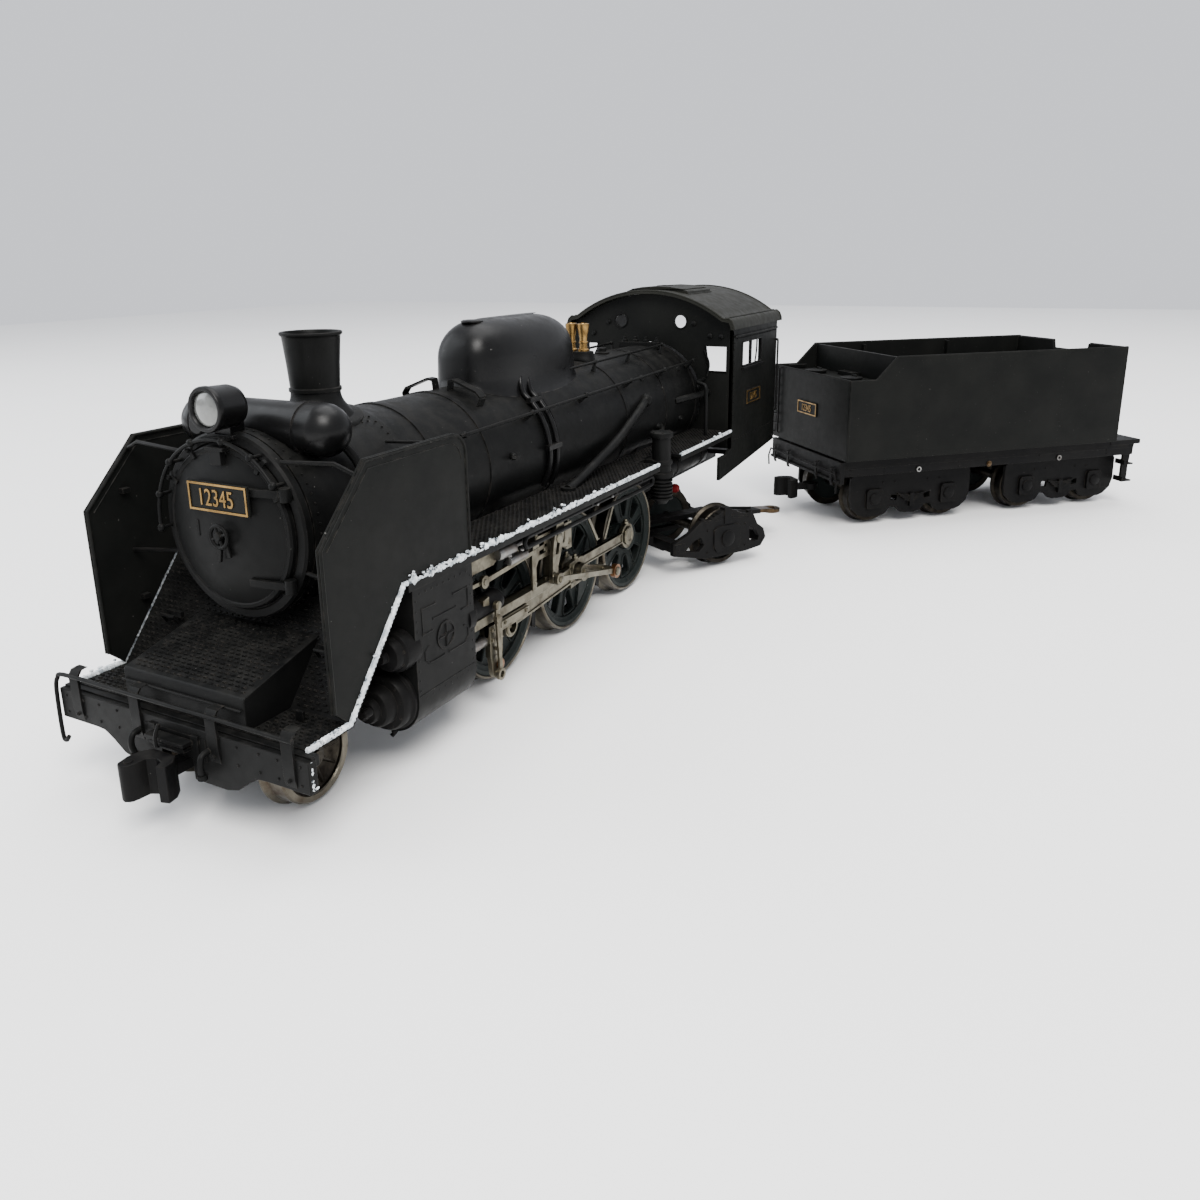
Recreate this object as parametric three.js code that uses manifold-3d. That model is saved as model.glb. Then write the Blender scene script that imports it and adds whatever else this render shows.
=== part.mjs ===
// A 16.5 mm gauge model of a 2-6-2 steam locomotive with its tender uncoupled and turned beside it.
// Millimetres. X runs across the engine (+X is its left side), Y along it (-Y is the front), Z up.
// Everything is modelled about the middle driving axle, with the treads of all wheels down to Z = 1.1,
// and the finished group is moved so that its origin is the centre of the bottom of its box.
import * as THREE from "three";
import { mergeVertices } from "three/addons/utils/BufferGeometryUtils.js";
import Module from "manifold-3d";

// ---- driving dimensions -------------------------------------------------------------------------
const BACK = 7.2; // wheel backs, half of the 14.4 mm back-to-back
const FACE = 10.2; // outer face of every wheel
const FLANGE = 0.5; // how far the flange stands out from the tread
const GAP = 0.3; // clearance between pieces that only touch on the real model

const AXLE_Z = 10.6; // driving axles
const DRIVER_PITCH = 20.6;
const DRIVER_TREAD = 9.5;
const THROW = 3.8; // crank pin radius
const CRANK_LEFT = THREE.MathUtils.degToRad(160); // from +Y towards +Z, seen from the left
const CRANK_RIGHT = THREE.MathUtils.degToRad(250); // quartered by 90 degrees

const ROD_LENGTH = 20.83; // crosshead pin to the mean place of the crank pin
const CYLINDER_X = 14.3; // piston rod line, at the height of the driving axles
const SIDE_ROD = [11.0, 11.8];
const MAIN_ROD = [12.6, 13.4];
const RETURN_CRANK = [13.9, 14.6];
const LINK_PLATE = [15.5, 16.1];
const ECCENTRIC_ROD = [16.4, 16.95];
const ECCENTRIC_THROW = 2.6; // radius of the return crank's outer pin
const LINK_TRUNNION = [-13.6, 20.2]; // y, z
const LINK_FOOT = [-14.9, 14.6];

const BOILER_Z = 30.5;
const BOILER_R = 10.0;
const SMOKEBOX_R = 10.4;
const BOARD_TOP = 24.6; // running boards
const DECK_TOP = 12.6; // front deck
const BODY_HALF = 17.5; // half width over the running boards
const BEAM_Y = -65.0; // rear face of the buffer beam
const CAB_FRONT = 52.0;
const CAB_REAR = 79.5;

const PONY_PIVOT = [0, -36.5];
const PONY_AXLE = [-56.8, 6.3]; // y, z
const PONY_TREAD = 5.2;
const TRUCK_PIVOT = [0, 27];
const TRUCK_SWING = THREE.MathUtils.degToRad(30); // the trailing truck stands swung to the left
const TRUCK_AXLE = [22, 6.5]; // distance behind the pivot, z

const TENDER_AT = [50.15, 108.68];
const TENDER_TURN = THREE.MathUtils.degToRad(43.85);
const TENDER_HALF = 17.3;
const BOGIE_AT = [-17.35, 21.2]; // along the tender, from its middle
const BOGIE_BASE = 9.1; // half of a bogie's wheelbase
const TENDER_AXLE_Z = 6.5;
const CARRYING_TREAD = 5.4; // trailing truck and tender

// ---- solids -------------------------------------------------------------------------------------
const wasm = await Module();
wasm.setup();

// A closed three.js geometry as a solid with its faces turned outwards.
function solid(geometry) {
  const bare = new THREE.BufferGeometry();
  const loose = geometry.index ? geometry.toNonIndexed() : geometry;
  bare.setAttribute("position", loose.getAttribute("position"));
  const merged = mergeVertices(bare, 1e-4);
  const points = merged.attributes.position.array;
  const faces = [];
  let volume = 0;
  for (let i = 0; i < merged.index.count; i += 3) {
    const [a, b, c] = merged.index.array.slice(i, i + 3);
    if (a === b || b === c || c === a) continue;
    faces.push([a, b, c]);
    const [p, q, r] = [a, b, c].map((k) => new THREE.Vector3().fromArray(points, 3 * k));
    volume += p.dot(q.cross(r));
  }
  const triVerts = new Uint32Array((volume < 0 ? faces.map((f) => [f[0], f[2], f[1]]) : faces).flat());
  return new wasm.Manifold(new wasm.Mesh({ numProp: 3, vertProperties: points, triVerts }));
}

function join(...pieces) {
  return pieces.flat().reduce((a, b) => a.add(b));
}

function cut(body, ...tools) {
  return tools.flat().reduce((a, b) => a.subtract(b), body);
}

const sorted = (a, b) => (a < b ? [a, b] : [b, a]);

// A block between two corners' coordinates on each axis.
function block([x0, x1], [y0, y1], [z0, z1]) {
  const g = new THREE.BoxGeometry(Math.abs(x1 - x0), Math.abs(y1 - y0), Math.abs(z1 - z0));
  g.translate((x0 + x1) / 2, (y0 + y1) / 2, (z0 + z1) / 2);
  return solid(g);
}

// A round bar between two points; a second radius makes it a cone.
function rod(from, to, radius, sides = 14, endRadius = radius) {
  const a = new THREE.Vector3(...from);
  const b = new THREE.Vector3(...to);
  const along = b.clone().sub(a);
  const g = new THREE.CylinderGeometry(endRadius, radius, along.length(), sides);
  const turn = new THREE.Quaternion().setFromUnitVectors(new THREE.Vector3(0, 1, 0), along.normalize());
  g.applyQuaternion(turn);
  g.translate(...a.add(b).divideScalar(2).toArray());
  return solid(g);
}

const PLANES = {
  x: [new THREE.Vector3(0, 1, 0), new THREE.Vector3(0, 0, 1), new THREE.Vector3(1, 0, 0), 1],
  y: [new THREE.Vector3(1, 0, 0), new THREE.Vector3(0, 0, 1), new THREE.Vector3(0, -1, 0), -1],
  z: [new THREE.Vector3(1, 0, 0), new THREE.Vector3(0, 1, 0), new THREE.Vector3(0, 0, 1), 1],
};

// A plate whose outline lies across an axis: (y, z) for x, (x, z) for y and (x, y) for z.
function plate(outline, axis, [low, high], holes = []) {
  const shape = new THREE.Shape(outline.map(([u, v]) => new THREE.Vector2(u, v)));
  const g = new THREE.ExtrudeGeometry(shape, { depth: high - low, bevelEnabled: false });
  const [u, v, w, sign] = PLANES[axis];
  g.applyMatrix4(new THREE.Matrix4().makeBasis(u, v, w));
  const start = sign > 0 ? low : high;
  g.translate(axis === "x" ? start : 0, axis === "y" ? start : 0, axis === "z" ? start : 0);
  return cut(solid(g), holes.map((h) => plate(h, axis, [low - 1, high + 1])));
}

// A turned piece: a profile of [radius, distance along the axis] about an axis through a centre.
function turned(profile, axis, centre, sides = 28) {
  const g = new THREE.LatheGeometry(profile.map(([r, s]) => new THREE.Vector2(r, s)), sides);
  if (axis === "x") g.rotateZ(-Math.PI / 2);
  if (axis === "z") g.rotateX(Math.PI / 2);
  g.translate(...centre);
  return solid(g);
}

function circle(u, v, r, sides = 10, turn = 0) {
  const step = (2 * Math.PI) / sides;
  return Array.from({ length: sides }, (_, i) => [
    u + r * Math.cos(turn + i * step),
    v + r * Math.sin(turn + i * step),
  ]);
}

// Points on an arc, in degrees.
function arc(u, v, r, from, to, steps) {
  return Array.from({ length: steps + 1 }, (_, i) => {
    const t = THREE.MathUtils.degToRad(from + ((to - from) * i) / steps);
    return [u + r * Math.cos(t), v + r * Math.sin(t)];
  });
}

const mirrored = (outline) => [...outline, ...outline.map(([u, v]) => [-u, v]).reverse()];
const across = (side, [a, b]) => sorted(side * a, side * b);

// ---- materials and nodes ------------------------------------------------------------------------
const paint = new THREE.MeshStandardMaterial({ color: 0x17181a, roughness: 0.55, metalness: 0.1 });
const darkMetal = new THREE.MeshStandardMaterial({ color: 0x202124, roughness: 0.5, metalness: 0.5 });
const nickel = new THREE.MeshStandardMaterial({ color: 0x9a9284, roughness: 0.4, metalness: 0.9 });
const brass = new THREE.MeshStandardMaterial({ color: 0xa9834a, roughness: 0.4, metalness: 0.9 });
const glass = new THREE.MeshStandardMaterial({ color: 0xcfd6d8, roughness: 0.2, metalness: 0 });
const wheelPaint = new THREE.MeshStandardMaterial({ color: 0x2a2d30, roughness: 0.6, metalness: 0.3 });

const engine = new THREE.Group();
const tender = new THREE.Group();
tender.position.set(TENDER_AT[0], TENDER_AT[1], 0);
tender.rotation.z = TENDER_TURN;

function node(name, body, material, parent = engine) {
  const mesh = body.getMesh();
  const g = new THREE.BufferGeometry();
  g.setAttribute("position", new THREE.BufferAttribute(new Float32Array(mesh.vertProperties), 3));
  g.setIndex(new THREE.BufferAttribute(new Uint32Array(mesh.triVerts), 1));
  g.computeVertexNormals();
  const made = new THREE.Mesh(g, material);
  made.name = name;
  parent.add(made);
  return made;
}

// The same body on both sides: the right one is the left one mirrored.
function pair(name, body, material) {
  node(`${name}_left`, body, material);
  node(`${name}_right`, body, material).scale.x = -1;
}

// ---- wheels -------------------------------------------------------------------------------------
// One wheel about the X axis: flanged tyre with a web set back from its face.
function wheel(side, y, z, tread, sides, rim = 0) {
  const flange = tread + FLANGE;
  const face = rim
    ? [
        [tread - rim, FACE],
        [tread - rim, FACE - 0.8],
        [0, FACE - 0.8],
      ]
    : [[0, FACE]];
  const tyre = [
    [0, BACK],
    [flange, BACK],
    [flange, BACK + 0.5],
    [tread, BACK + 0.8],
    [tread, FACE],
  ];
  const profile = [...tyre, ...face];
  return turned(profile.map(([r, s]) => [r, side * s]), "x", [0, y, z], sides);
}

// Long rounded windows between the spokes of a driving wheel.
function driverHoles(y, z, turn) {
  const count = 8;
  return Array.from({ length: count }, (_, i) => {
    const t = turn + ((i + 0.5) * 2 * Math.PI) / count;
    return [
      [-0.5, 3.4],
      [0.5, 3.4],
      [1.4, 7.2],
      [-1.4, 7.2],
    ].map(([across_, out]) => [
      y + out * Math.cos(t) - across_ * Math.sin(t),
      z + out * Math.sin(t) + across_ * Math.cos(t),
    ]);
  });
}

const pinPlace = (angle, r) => [r * Math.cos(angle), r * Math.sin(angle)];
const crankAngle = (side) => (side > 0 ? CRANK_LEFT : CRANK_RIGHT);
const returnAngle = (side) => crankAngle(side) - CRANK_LEFT;

function drivingAxle(index) {
  const y = index * DRIVER_PITCH;
  const parts = [rod([-BACK - 1, y, AXLE_Z], [BACK + 1, y, AXLE_Z], 1.5)];
  for (const side of [1, -1]) {
    const angle = crankAngle(side);
    const [dy, dz] = pinPlace(angle, THROW);
    const through = across(side, [BACK - 1, FACE + 1]);
    const windows = driverHoles(y, AXLE_Z, angle).map((h) => plate(h, "x", through));
    parts.push(cut(wheel(side, y, AXLE_Z, DRIVER_TREAD, 24, 1.3), windows));
    parts.push(rod([side * BACK, y, AXLE_Z], [side * (FACE + 0.4), y, AXLE_Z], 2.4, 12));
    const place = (x) => [side * x, y + dy, AXLE_Z + dz];
    const pin = (from, to, r) => rod(place(from), place(to), r, 10);
    parts.push(pin(BACK + 1, FACE + 0.3, 1.9));
    if (index !== 0) {
      parts.push(pin(FACE, SIDE_ROD[1] + 0.2, 1.0), pin(SIDE_ROD[1] + 0.15, MAIN_ROD[0] - GAP, 1.35));
      continue;
    }
    const [ey, ez] = pinPlace(returnAngle(side), ECCENTRIC_THROW);
    parts.push(
      pin(FACE, RETURN_CRANK[0] + 0.1, 1.0),
      bar(across(side, RETURN_CRANK), [dy, AXLE_Z + dz], 1.3, [ey, AXLE_Z + ez], 0.9),
      rod([side * RETURN_CRANK[0], ey, AXLE_Z + ez], [side * ECCENTRIC_ROD[1], ey, AXLE_Z + ez], 0.5, 10),
    );
  }
  if (index === 0) parts.push(rod([-1.1, 0, AXLE_Z], [1.1, 0, AXLE_Z], 7.8, 24)); // worm wheel
  return join(parts);
}

// A flat link with two round ends, across X.
function bar(span, [y0, z0], r0, [y1, z1], r1, share = 0.72) {
  const length = Math.hypot(y1 - y0, z1 - z0);
  const [ny, nz] = [-(z1 - z0) / length, (y1 - y0) / length];
  const [w0, w1] = [r0 * share, r1 * share];
  const outline = [
    [y0 + ny * w0, z0 + nz * w0],
    [y0 - ny * w0, z0 - nz * w0],
    [y1 - ny * w1, z1 - nz * w1],
    [y1 + ny * w1, z1 + nz * w1],
  ];
  return join(
    plate(outline, "x", span),
    plate(circle(y0, z0, r0, 12), "x", span),
    plate(circle(y1, z1, r1, 12), "x", span),
  );
}

const boreX = (side, y, z, r, [low, high] = [0, 20]) => rod([side * low, y, z], [side * high, y, z], r, 10);

// ---- running gear -------------------------------------------------------------------------------
function sideRod(side) {
  const [dy, dz] = pinPlace(crankAngle(side), THROW);
  const span = across(side, SIDE_ROD);
  const eye = (i) => [i * DRIVER_PITCH + dy, AXLE_Z + dz];
  const half = (i) => bar(span, eye(i), 1.9, eye(i + 1), 1.9, 0.55);
  return cut(join(half(-1), half(0)), [-1, 0, 1].map((i) => boreX(side, ...eye(i), 1.25)));
}

// The place of the crosshead pin: the stroke is a plain cosine of the crank angle.
const wrist = (side) => [THROW * Math.cos(crankAngle(side)) - ROD_LENGTH, AXLE_Z];

function mainRod(side) {
  const [dy, dz] = pinPlace(crankAngle(side), THROW);
  const [wy, wz] = wrist(side);
  const span = across(side, MAIN_ROD);
  const blade = bar(span, [wy, wz], 1.5, [dy, AXLE_Z + dz], 2.1, 0.62);
  const pin = rod([side * MAIN_ROD[0], wy, wz], [side * (MAIN_ROD[1] + 0.25), wy, wz], 0.5, 10);
  return join(cut(blade, boreX(side, dy, AXLE_Z + dz, 1.45)), pin);
}

function crosshead(side) {
  const [y, z] = wrist(side);
  const body = plate(
    [
      [y - 3.4, z - 1.9],
      [y + 2.4, z - 1.9],
      [y + 3.6, z - 0.6],
      [y + 3.6, z + 2.1],
      [y - 3.4, z + 2.1],
    ],
    "x",
    across(side, [13.7, 15.4]),
  );
  const arm = plate(
    [
      [y - 2.2, z - 1.2],
      [y - 3.3, z - 1.2],
      [y - 5.4, z - 4.2],
      [y - 5.4, z - 5.2],
      [y - 3.9, z - 5.2],
      [y - 2.2, z - 2.4],
    ],
    "x",
    across(side, [14.6, 15.3]),
  );
  return cut(join(body, arm), boreX(side, y, z, 0.85, [13, 15.0]));
}

function runningGear(side, name) {
  const angle = crankAngle(side);
  const [wy, wz] = wrist(side);
  const x = side * CYLINDER_X;
  node(`side_rod_${name}`, sideRod(side), nickel);
  const [py, pz] = pinPlace(angle, THROW / 2);
  const [inner, outer] = [BACK - 0.75, BACK - GAP].map((v) => [side * v, py, AXLE_Z + pz]);
  node(`crank_plug_${name}`, rod(inner, outer, 0.3, 8), darkMetal);
  node(`crosshead_${name}`, crosshead(side), nickel);
  node(`piston_rod_${name}`, rod([x, wy - 3.7, wz], [x, wy - 20.5, wz], 0.7), nickel);
  node(`wrist_ball_${name}`, solid(new THREE.SphereGeometry(0.4, 8, 6).translate(x, wy, wz)), nickel);
  node(`main_rod_${name}`, mainRod(side), nickel);

  const [ey, ez] = pinPlace(returnAngle(side), ECCENTRIC_THROW);
  const [restY, restZ] = pinPlace(0, ECCENTRIC_THROW);
  const front = [LINK_FOOT[0] + ey - restY, LINK_FOOT[1] + ez - restZ];
  const eccentric = bar(across(side, ECCENTRIC_ROD), [ey, AXLE_Z + ez], 1.0, front, 0.9, 0.55);
  node(`eccentric_rod_${name}`, cut(eccentric, boreX(side, ey, AXLE_Z + ez, 0.7)), nickel);

  const [ty, tz] = LINK_TRUNNION;
  const foot = [LINK_FOOT[0], LINK_FOOT[1]];
  const link = join(
    bar(across(side, LINK_PLATE), [ty, tz], 1.6, foot, 0.9, 0.6),
    bar(across(side, LINK_PLATE), [ty, tz], 1.5, [ty + 0.4, tz + 2.6], 0.8, 0.8),
  );
  node(`expansion_link_${name}`, link, nickel);

  const lever = [wy - 4.65, wz - 4.7];
  node(
    `combination_lever_${name}`,
    bar(across(side, [15.6, 16.1]), lever, 0.75, [lever[0] - 0.3, lever[1] + 9.6], 0.6, 0.5),
    nickel,
  );
}

// ---- frame, cylinders and drive -----------------------------------------------------------------
const boilerHole = (r, y0, y1) => rod([0, y0, BOILER_Z], [0, y1, BOILER_Z], r, 32);

function mainFrame() {
  const profile = [
    [-64.4, 10.6],
    [-47.0, 10.6],
    [-45.5, 6.2],
    [24.0, 6.2],
    [24.5, 10.0],
    [33.0, 13.4],
    [78.5, 13.4],
    [78.5, 15.0],
    [25.5, 15.0],
    [25.5, 19.0],
    [-48.0, 19.0],
    [-50.0, 16.5],
    [-57.5, 11.6],
    [-64.4, 11.6],
  ];
  const slots = [-1, 0, 1].map((i) => {
    const y = i * DRIVER_PITCH;
    return block([-6, 6], [y - 1.75, y + 1.75], [5, AXLE_Z + 1.75]);
  });
  const saddle = cut(block([-7, 7], [-47, -36.5], [14, 24]), boilerHole(SMOKEBOX_R + GAP, -48, -36));
  const [py, pz] = [PONY_PIVOT[1], 6.2];
  const pivot = (y, top, low) => [
    rod([0, y, top + 0.2], [0, y, low - 0.1], 1.2),
    rod([0, y, low], [0, y, low - 0.8], 2.1),
  ];
  return join(
    cut(plate(profile, "x", [-4.3, 4.3]), slots, block([-1.6, 1.6], [-8.4, 8.4], [2, 22])),
    saddle,
    block([-11.4, 11.4], [-46.5, -37.2], [14.2, 18.8]),
    pivot(py, pz, 4.1),
    pivot(TRUCK_PIVOT[1], 12.0, 5.3),
    rod([0, -62.5, 11.2], [0, -62.5, 8.5], 0.8, 10),
  );
}

function keeperPlate() {
  const body = block([-4.3, 4.3], [-33.5, 23.6], [5.0, 5.9]);
  return cut(body, block([-1.5, 1.5], [-8.2, 8.2], [4, 7]));
}

// Casing, barrel, covers, valve chest, slide bar and motion bracket of the left cylinder.
function cylinder() {
  const casing = plate(
    [
      [11.7, 9.0],
      [17.0, 9.0],
      [17.0, 23.2],
      [11.7, 23.2],
    ],
    "y",
    [-47.3, -36.0],
  );
  const barrel = turned(
    [
      [0, -51.4],
      [0.9, -51.4],
      [1.1, -50.2],
      [2.0, -49.6],
      [3.6, -49.2],
      [4.1, -48.8],
      [4.1, -36.0],
      [0, -36.0],
    ],
    "y",
    [CYLINDER_X, 0, AXLE_Z],
    20,
  );
  const chest = turned(
    [
      [0, -50.2],
      [0.8, -50.2],
      [1.0, -49.3],
      [2.4, -49.0],
      [2.4, -34.8],
      [1.0, -34.6],
      [1.0, -32.4],
      [0, -32.4],
    ],
    "y",
    [CYLINDER_X + 0.6, 0, 16.2],
    14,
  );
  const gland = rod([CYLINDER_X, -36.2, AXLE_Z], [CYLINDER_X, -35.0, AXLE_Z], 1.7);
  const slideBar = block([13.8, 15.2], [-36.2, -13.2], [13.0, 14.3]);
  const bracket = plate(
    [
      [13.8, 13.2],
      [15.2, 13.2],
      [15.2, 23.5],
      [8.8, 23.5],
      [8.8, 19.6],
      [13.8, 17.0],
    ],
    "y",
    [-14.6, -13.2],
  );
  const bore = rod([CYLINDER_X, -46.4, AXLE_Z], [CYLINDER_X, -30, AXLE_Z], 1.0);
  return cut(join(casing, barrel, chest, gland, slideBar, bracket), bore);
}

const MOTOR_Z = 20.5; // height of the motor and worm shaft

function motor() {
  const can = plate(
    [
      [-6.5, MOTOR_Z - 3],
      [-4.6, MOTOR_Z - 5.2],
      [4.6, MOTOR_Z - 5.2],
      [6.5, MOTOR_Z - 3],
      [6.5, MOTOR_Z + 3],
      [4.6, MOTOR_Z + 5.2],
      [-4.6, MOTOR_Z + 5.2],
      [-6.5, MOTOR_Z + 3],
    ],
    "y",
    [27.5, 49.5],
  );
  const boss = rod([0, 26.2, MOTOR_Z], [0, 27.6, MOTOR_Z], 2.4);
  return cut(join(can, boss), rod([0, 25, MOTOR_Z], [0, 46, MOTOR_Z], 1.1));
}

function wormShaft() {
  return join(
    rod([0, -5.5, MOTOR_Z], [0, 45.6, MOTOR_Z], 0.8, 12),
    rod([0, -4.5, MOTOR_Z], [0, 4.5, MOTOR_Z], 1.7, 14),
  );
}

// ---- boiler and its fittings --------------------------------------------------------------------
function boiler() {
  const shell = turned(
    [
      [0, -54.2],
      [SMOKEBOX_R, -54.2],
      [SMOKEBOX_R, -36.6],
      [BOILER_R, -36.4],
      [BOILER_R, 20],
      [BOILER_R + 0.5, 24],
      [BOILER_R + 0.5, 57.5],
      [0, 57.5],
    ],
    "y",
    [0, 0, BOILER_Z],
    32,
  );
  const firebox = block([-8.2, 8.2], [27, 51.4], [20.6, 27]);
  const pocket = block([-7.2, 7.2], [-7, 51.6], [15, 26.4]);
  return cut(join(shell, firebox), pocket);
}

const along = (profile, y0) => profile.map(([r, s]) => [r, y0 + s]);

function smokeboxFront() {
  const front = turned(
    along(
      [
        [0, -2.5],
        [5.0, -2.2],
        [8.6, -1.2],
        [9.0, -0.6],
        [SMOKEBOX_R, -0.6],
        [SMOKEBOX_R, 0.4],
        [0, 0.4],
      ],
      -54.9,
    ),
    "y",
    [0, 0, BOILER_Z],
    28,
  );
  const handle = rod([0, -58.4, BOILER_Z - 0.3], [0, -56, BOILER_Z - 0.3], 0.8, 10);
  return join(front, handle);
}

function chimney() {
  const stack = turned(
    [
      [0, 41.0],
      [3.6, 41.0],
      [3.1, 42.0],
      [2.8, 43.0],
      [3.2, 49.4],
      [3.6, 49.7],
      [3.6, 50.2],
      [2.7, 50.2],
      [2.4, 44.0],
      [0, 44.0],
    ],
    "z",
    [0, -41.5, 0],
    18,
  );
  const skirt = plate(
    arc(0, BOILER_Z, 13.2, 66, 114, 8).concat([
      [-5.5, 39.0],
      [5.5, 39.0],
    ]),
    "y",
    [-45.2, -37.6],
  );
  const flatTop = block([-9, 9], [-46, -37], [42.2, 50]);
  return cut(join(stack, cut(skirt, flatTop)), boilerHole(SMOKEBOX_R + GAP, -47, -36));
}

function feedwaterHeater() {
  const drum = turned(
    [
      [0, -10.8],
      [1.6, -10.4],
      [2.6, -9.6],
      [2.95, -8.6],
      [2.95, 8.6],
      [2.6, 9.6],
      [1.6, 10.4],
      [0, 10.8],
    ],
    "x",
    [0, -49.8, 41.2],
    16,
  );
  const saddle = block([-6, 6], [-52.2, -47.2], [38, 41.2]);
  return cut(join(drum, saddle), boilerHole(SMOKEBOX_R + GAP, -54, -44));
}

function headlight() {
  const drum = turned(
    [
      [0, -57.2],
      [2.2, -57.2],
      [2.2, -57.9],
      [2.7, -57.9],
      [2.75, -53.4],
      [1.6, -52.9],
      [0, -52.9],
    ],
    "y",
    [0, 0, 43.8],
    16,
  );
  const post = block([-1.3, 1.3], [-55.4, -53.2], [40, 42.2]);
  return cut(join(drum, post), boilerHole(SMOKEBOX_R + GAP, -58, -50));
}

function dome() {
  // A long streamlined casing: rounded in plan and over the top.
  const rings = [
    [0, 1.0],
    [4.6, 1.0],
    [6.4, 0.93],
    [7.7, 0.8],
    [8.5, 0.62],
    [8.9, 0.36],
  ];
  const base = 40.6;
  const half = (r) => [...arc(0, -8.5, r, 270, 360, 5), ...arc(0, 8.5, r, 0, 90, 5)];
  const plan = (scale) =>
    mirrored(half(7.0 * scale)).map(([x, y]) => [x * 0.93, y * (0.94 + 0.06 * scale)]);
  const layers = rings.slice(1).map(([height, scale], i) =>
    plate(unique(plan(scale)), "z", [base + (i === 0 ? -3 : rings[i][0] - 0.05), base + height]),
  );
  const flange = plate(unique(plan(1.1)), "z", [base - 3, base - 1.2]);
  return cut(join(layers, flange), boilerHole(BOILER_R + GAP, -20, 20));
}

function unique(outline) {
  return outline.filter(([u, v], i) => {
    const [pu, pv] = outline[(i + outline.length - 1) % outline.length];
    return Math.hypot(u - pu, v - pv) > 1e-3;
  });
}

function safetyValves() {
  const valve = (x) =>
    turned(
      [
        [0, 42.0],
        [1.1, 42.0],
        [0.75, 43.4],
        [0.75, 45.0],
        [1.2, 46.6],
        [1.25, 47.1],
        [0.5, 47.1],
        [0.5, 46.0],
        [0, 46.0],
      ],
      "z",
      [x, 21.8, 0],
      14,
    );
  const base = block([-3.4, 3.4], [20.3, 23.3], [40.0, 42.2]);
  return cut(join(valve(-1.9), valve(1.9), base), boilerHole(BOILER_R + 0.5 + GAP, 18, 26));
}

function feedPump() {
  const [x, y] = [15.8, 22];
  return join(rod([x, y, 16.8], [x, y, 29.4], 1.9, 16), rod([x, y, 21], [x, y, 24], 2.1, 16));
}

// ---- body plates --------------------------------------------------------------------------------
function frontDeck() {
  const top = [
    [-64.7, DECK_TOP],
    [-58.6, DECK_TOP],
    [-48.9, BOARD_TOP],
  ];
  const outline = [...top, ...top.map(([y, z]) => [y + 0.15, z - 0.3]).reverse()];
  const box = plate(
    [
      [-64.6, 12.3],
      [-64.6, 17.4],
      [-53.4, 19.0],
      [-53.4, 18.2],
      [-58.4, 12.3],
    ],
    "x",
    [-9, 9],
  );
  const sheet = plate(outline, "x", [-BODY_HALF, BODY_HALF]);
  return cut(join(sheet, box), boilerHole(SMOKEBOX_R + GAP + 0.3, -60, -40));
}

function bufferBeam() {
  const outline = mirrored([
    [0, 6.3],
    [7.5, 6.3],
    [11.5, 8.8],
    [18.6, 8.8],
    [18.6, 12.3],
    [0, 12.3],
  ]);
  const beam = plate(unique(outline), "y", [BEAM_Y - 1.1, BEAM_Y]);
  return cut(beam, block([-2.4, 2.4], [-67, -64], [6, 8.8]));
}

function runningBoard() {
  const plan = [
    [8.9, -48.4],
    [BODY_HALF, -48.4],
    [BODY_HALF, 17.6],
    [13.4, 17.6],
    [13.4, 26.5],
    [BODY_HALF, 26.5],
    [BODY_HALF, 51.4],
    [8.9, 51.4],
  ];
  const edge = (y0, y1) => block([BODY_HALF - 0.4, BODY_HALF], [y0, y1], [BOARD_TOP - 1.2, BOARD_TOP]);
  const clear = boilerHole(SMOKEBOX_R + 0.5 + GAP, -50, 53);
  const walk = plate(plan, "z", [BOARD_TOP - 0.7, BOARD_TOP]);
  return join(cut(walk, clear), edge(-48.4, 17.6), edge(26.5, 51.4));
}

function deflector() {
  const foot = 0.35; // clearance over the deck and the running board
  return plate(
    [
      [-60.7, 14.6],
      [-58.9, DECK_TOP + foot],
      [-49.2, BOARD_TOP + foot],
      [-36.6, BOARD_TOP + foot],
      [-36.6, 36.4],
      ...arc(-39.1, 36.5, 2.5, 5, 90, 4),
      [-53.6, 38.9],
      [-60.7, 31.5],
    ],
    "x",
    [BODY_HALF - 0.6, BODY_HALF],
  );
}

// ---- cab ----------------------------------------------------------------------------------------
const EAVES = 44.0;
const ROOF_R = 26.6; // outer radius of the roof's middle part
const roofTop = (x, inset = 0) => 51.2 - ROOF_R + Math.sqrt((ROOF_R - inset) ** 2 - x * x);

function roofLine(half, inset, steps) {
  return Array.from({ length: 2 * steps + 1 }, (_, i) => {
    const x = (half * (steps - i)) / steps;
    return [x, roofTop(x, inset)];
  });
}

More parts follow.
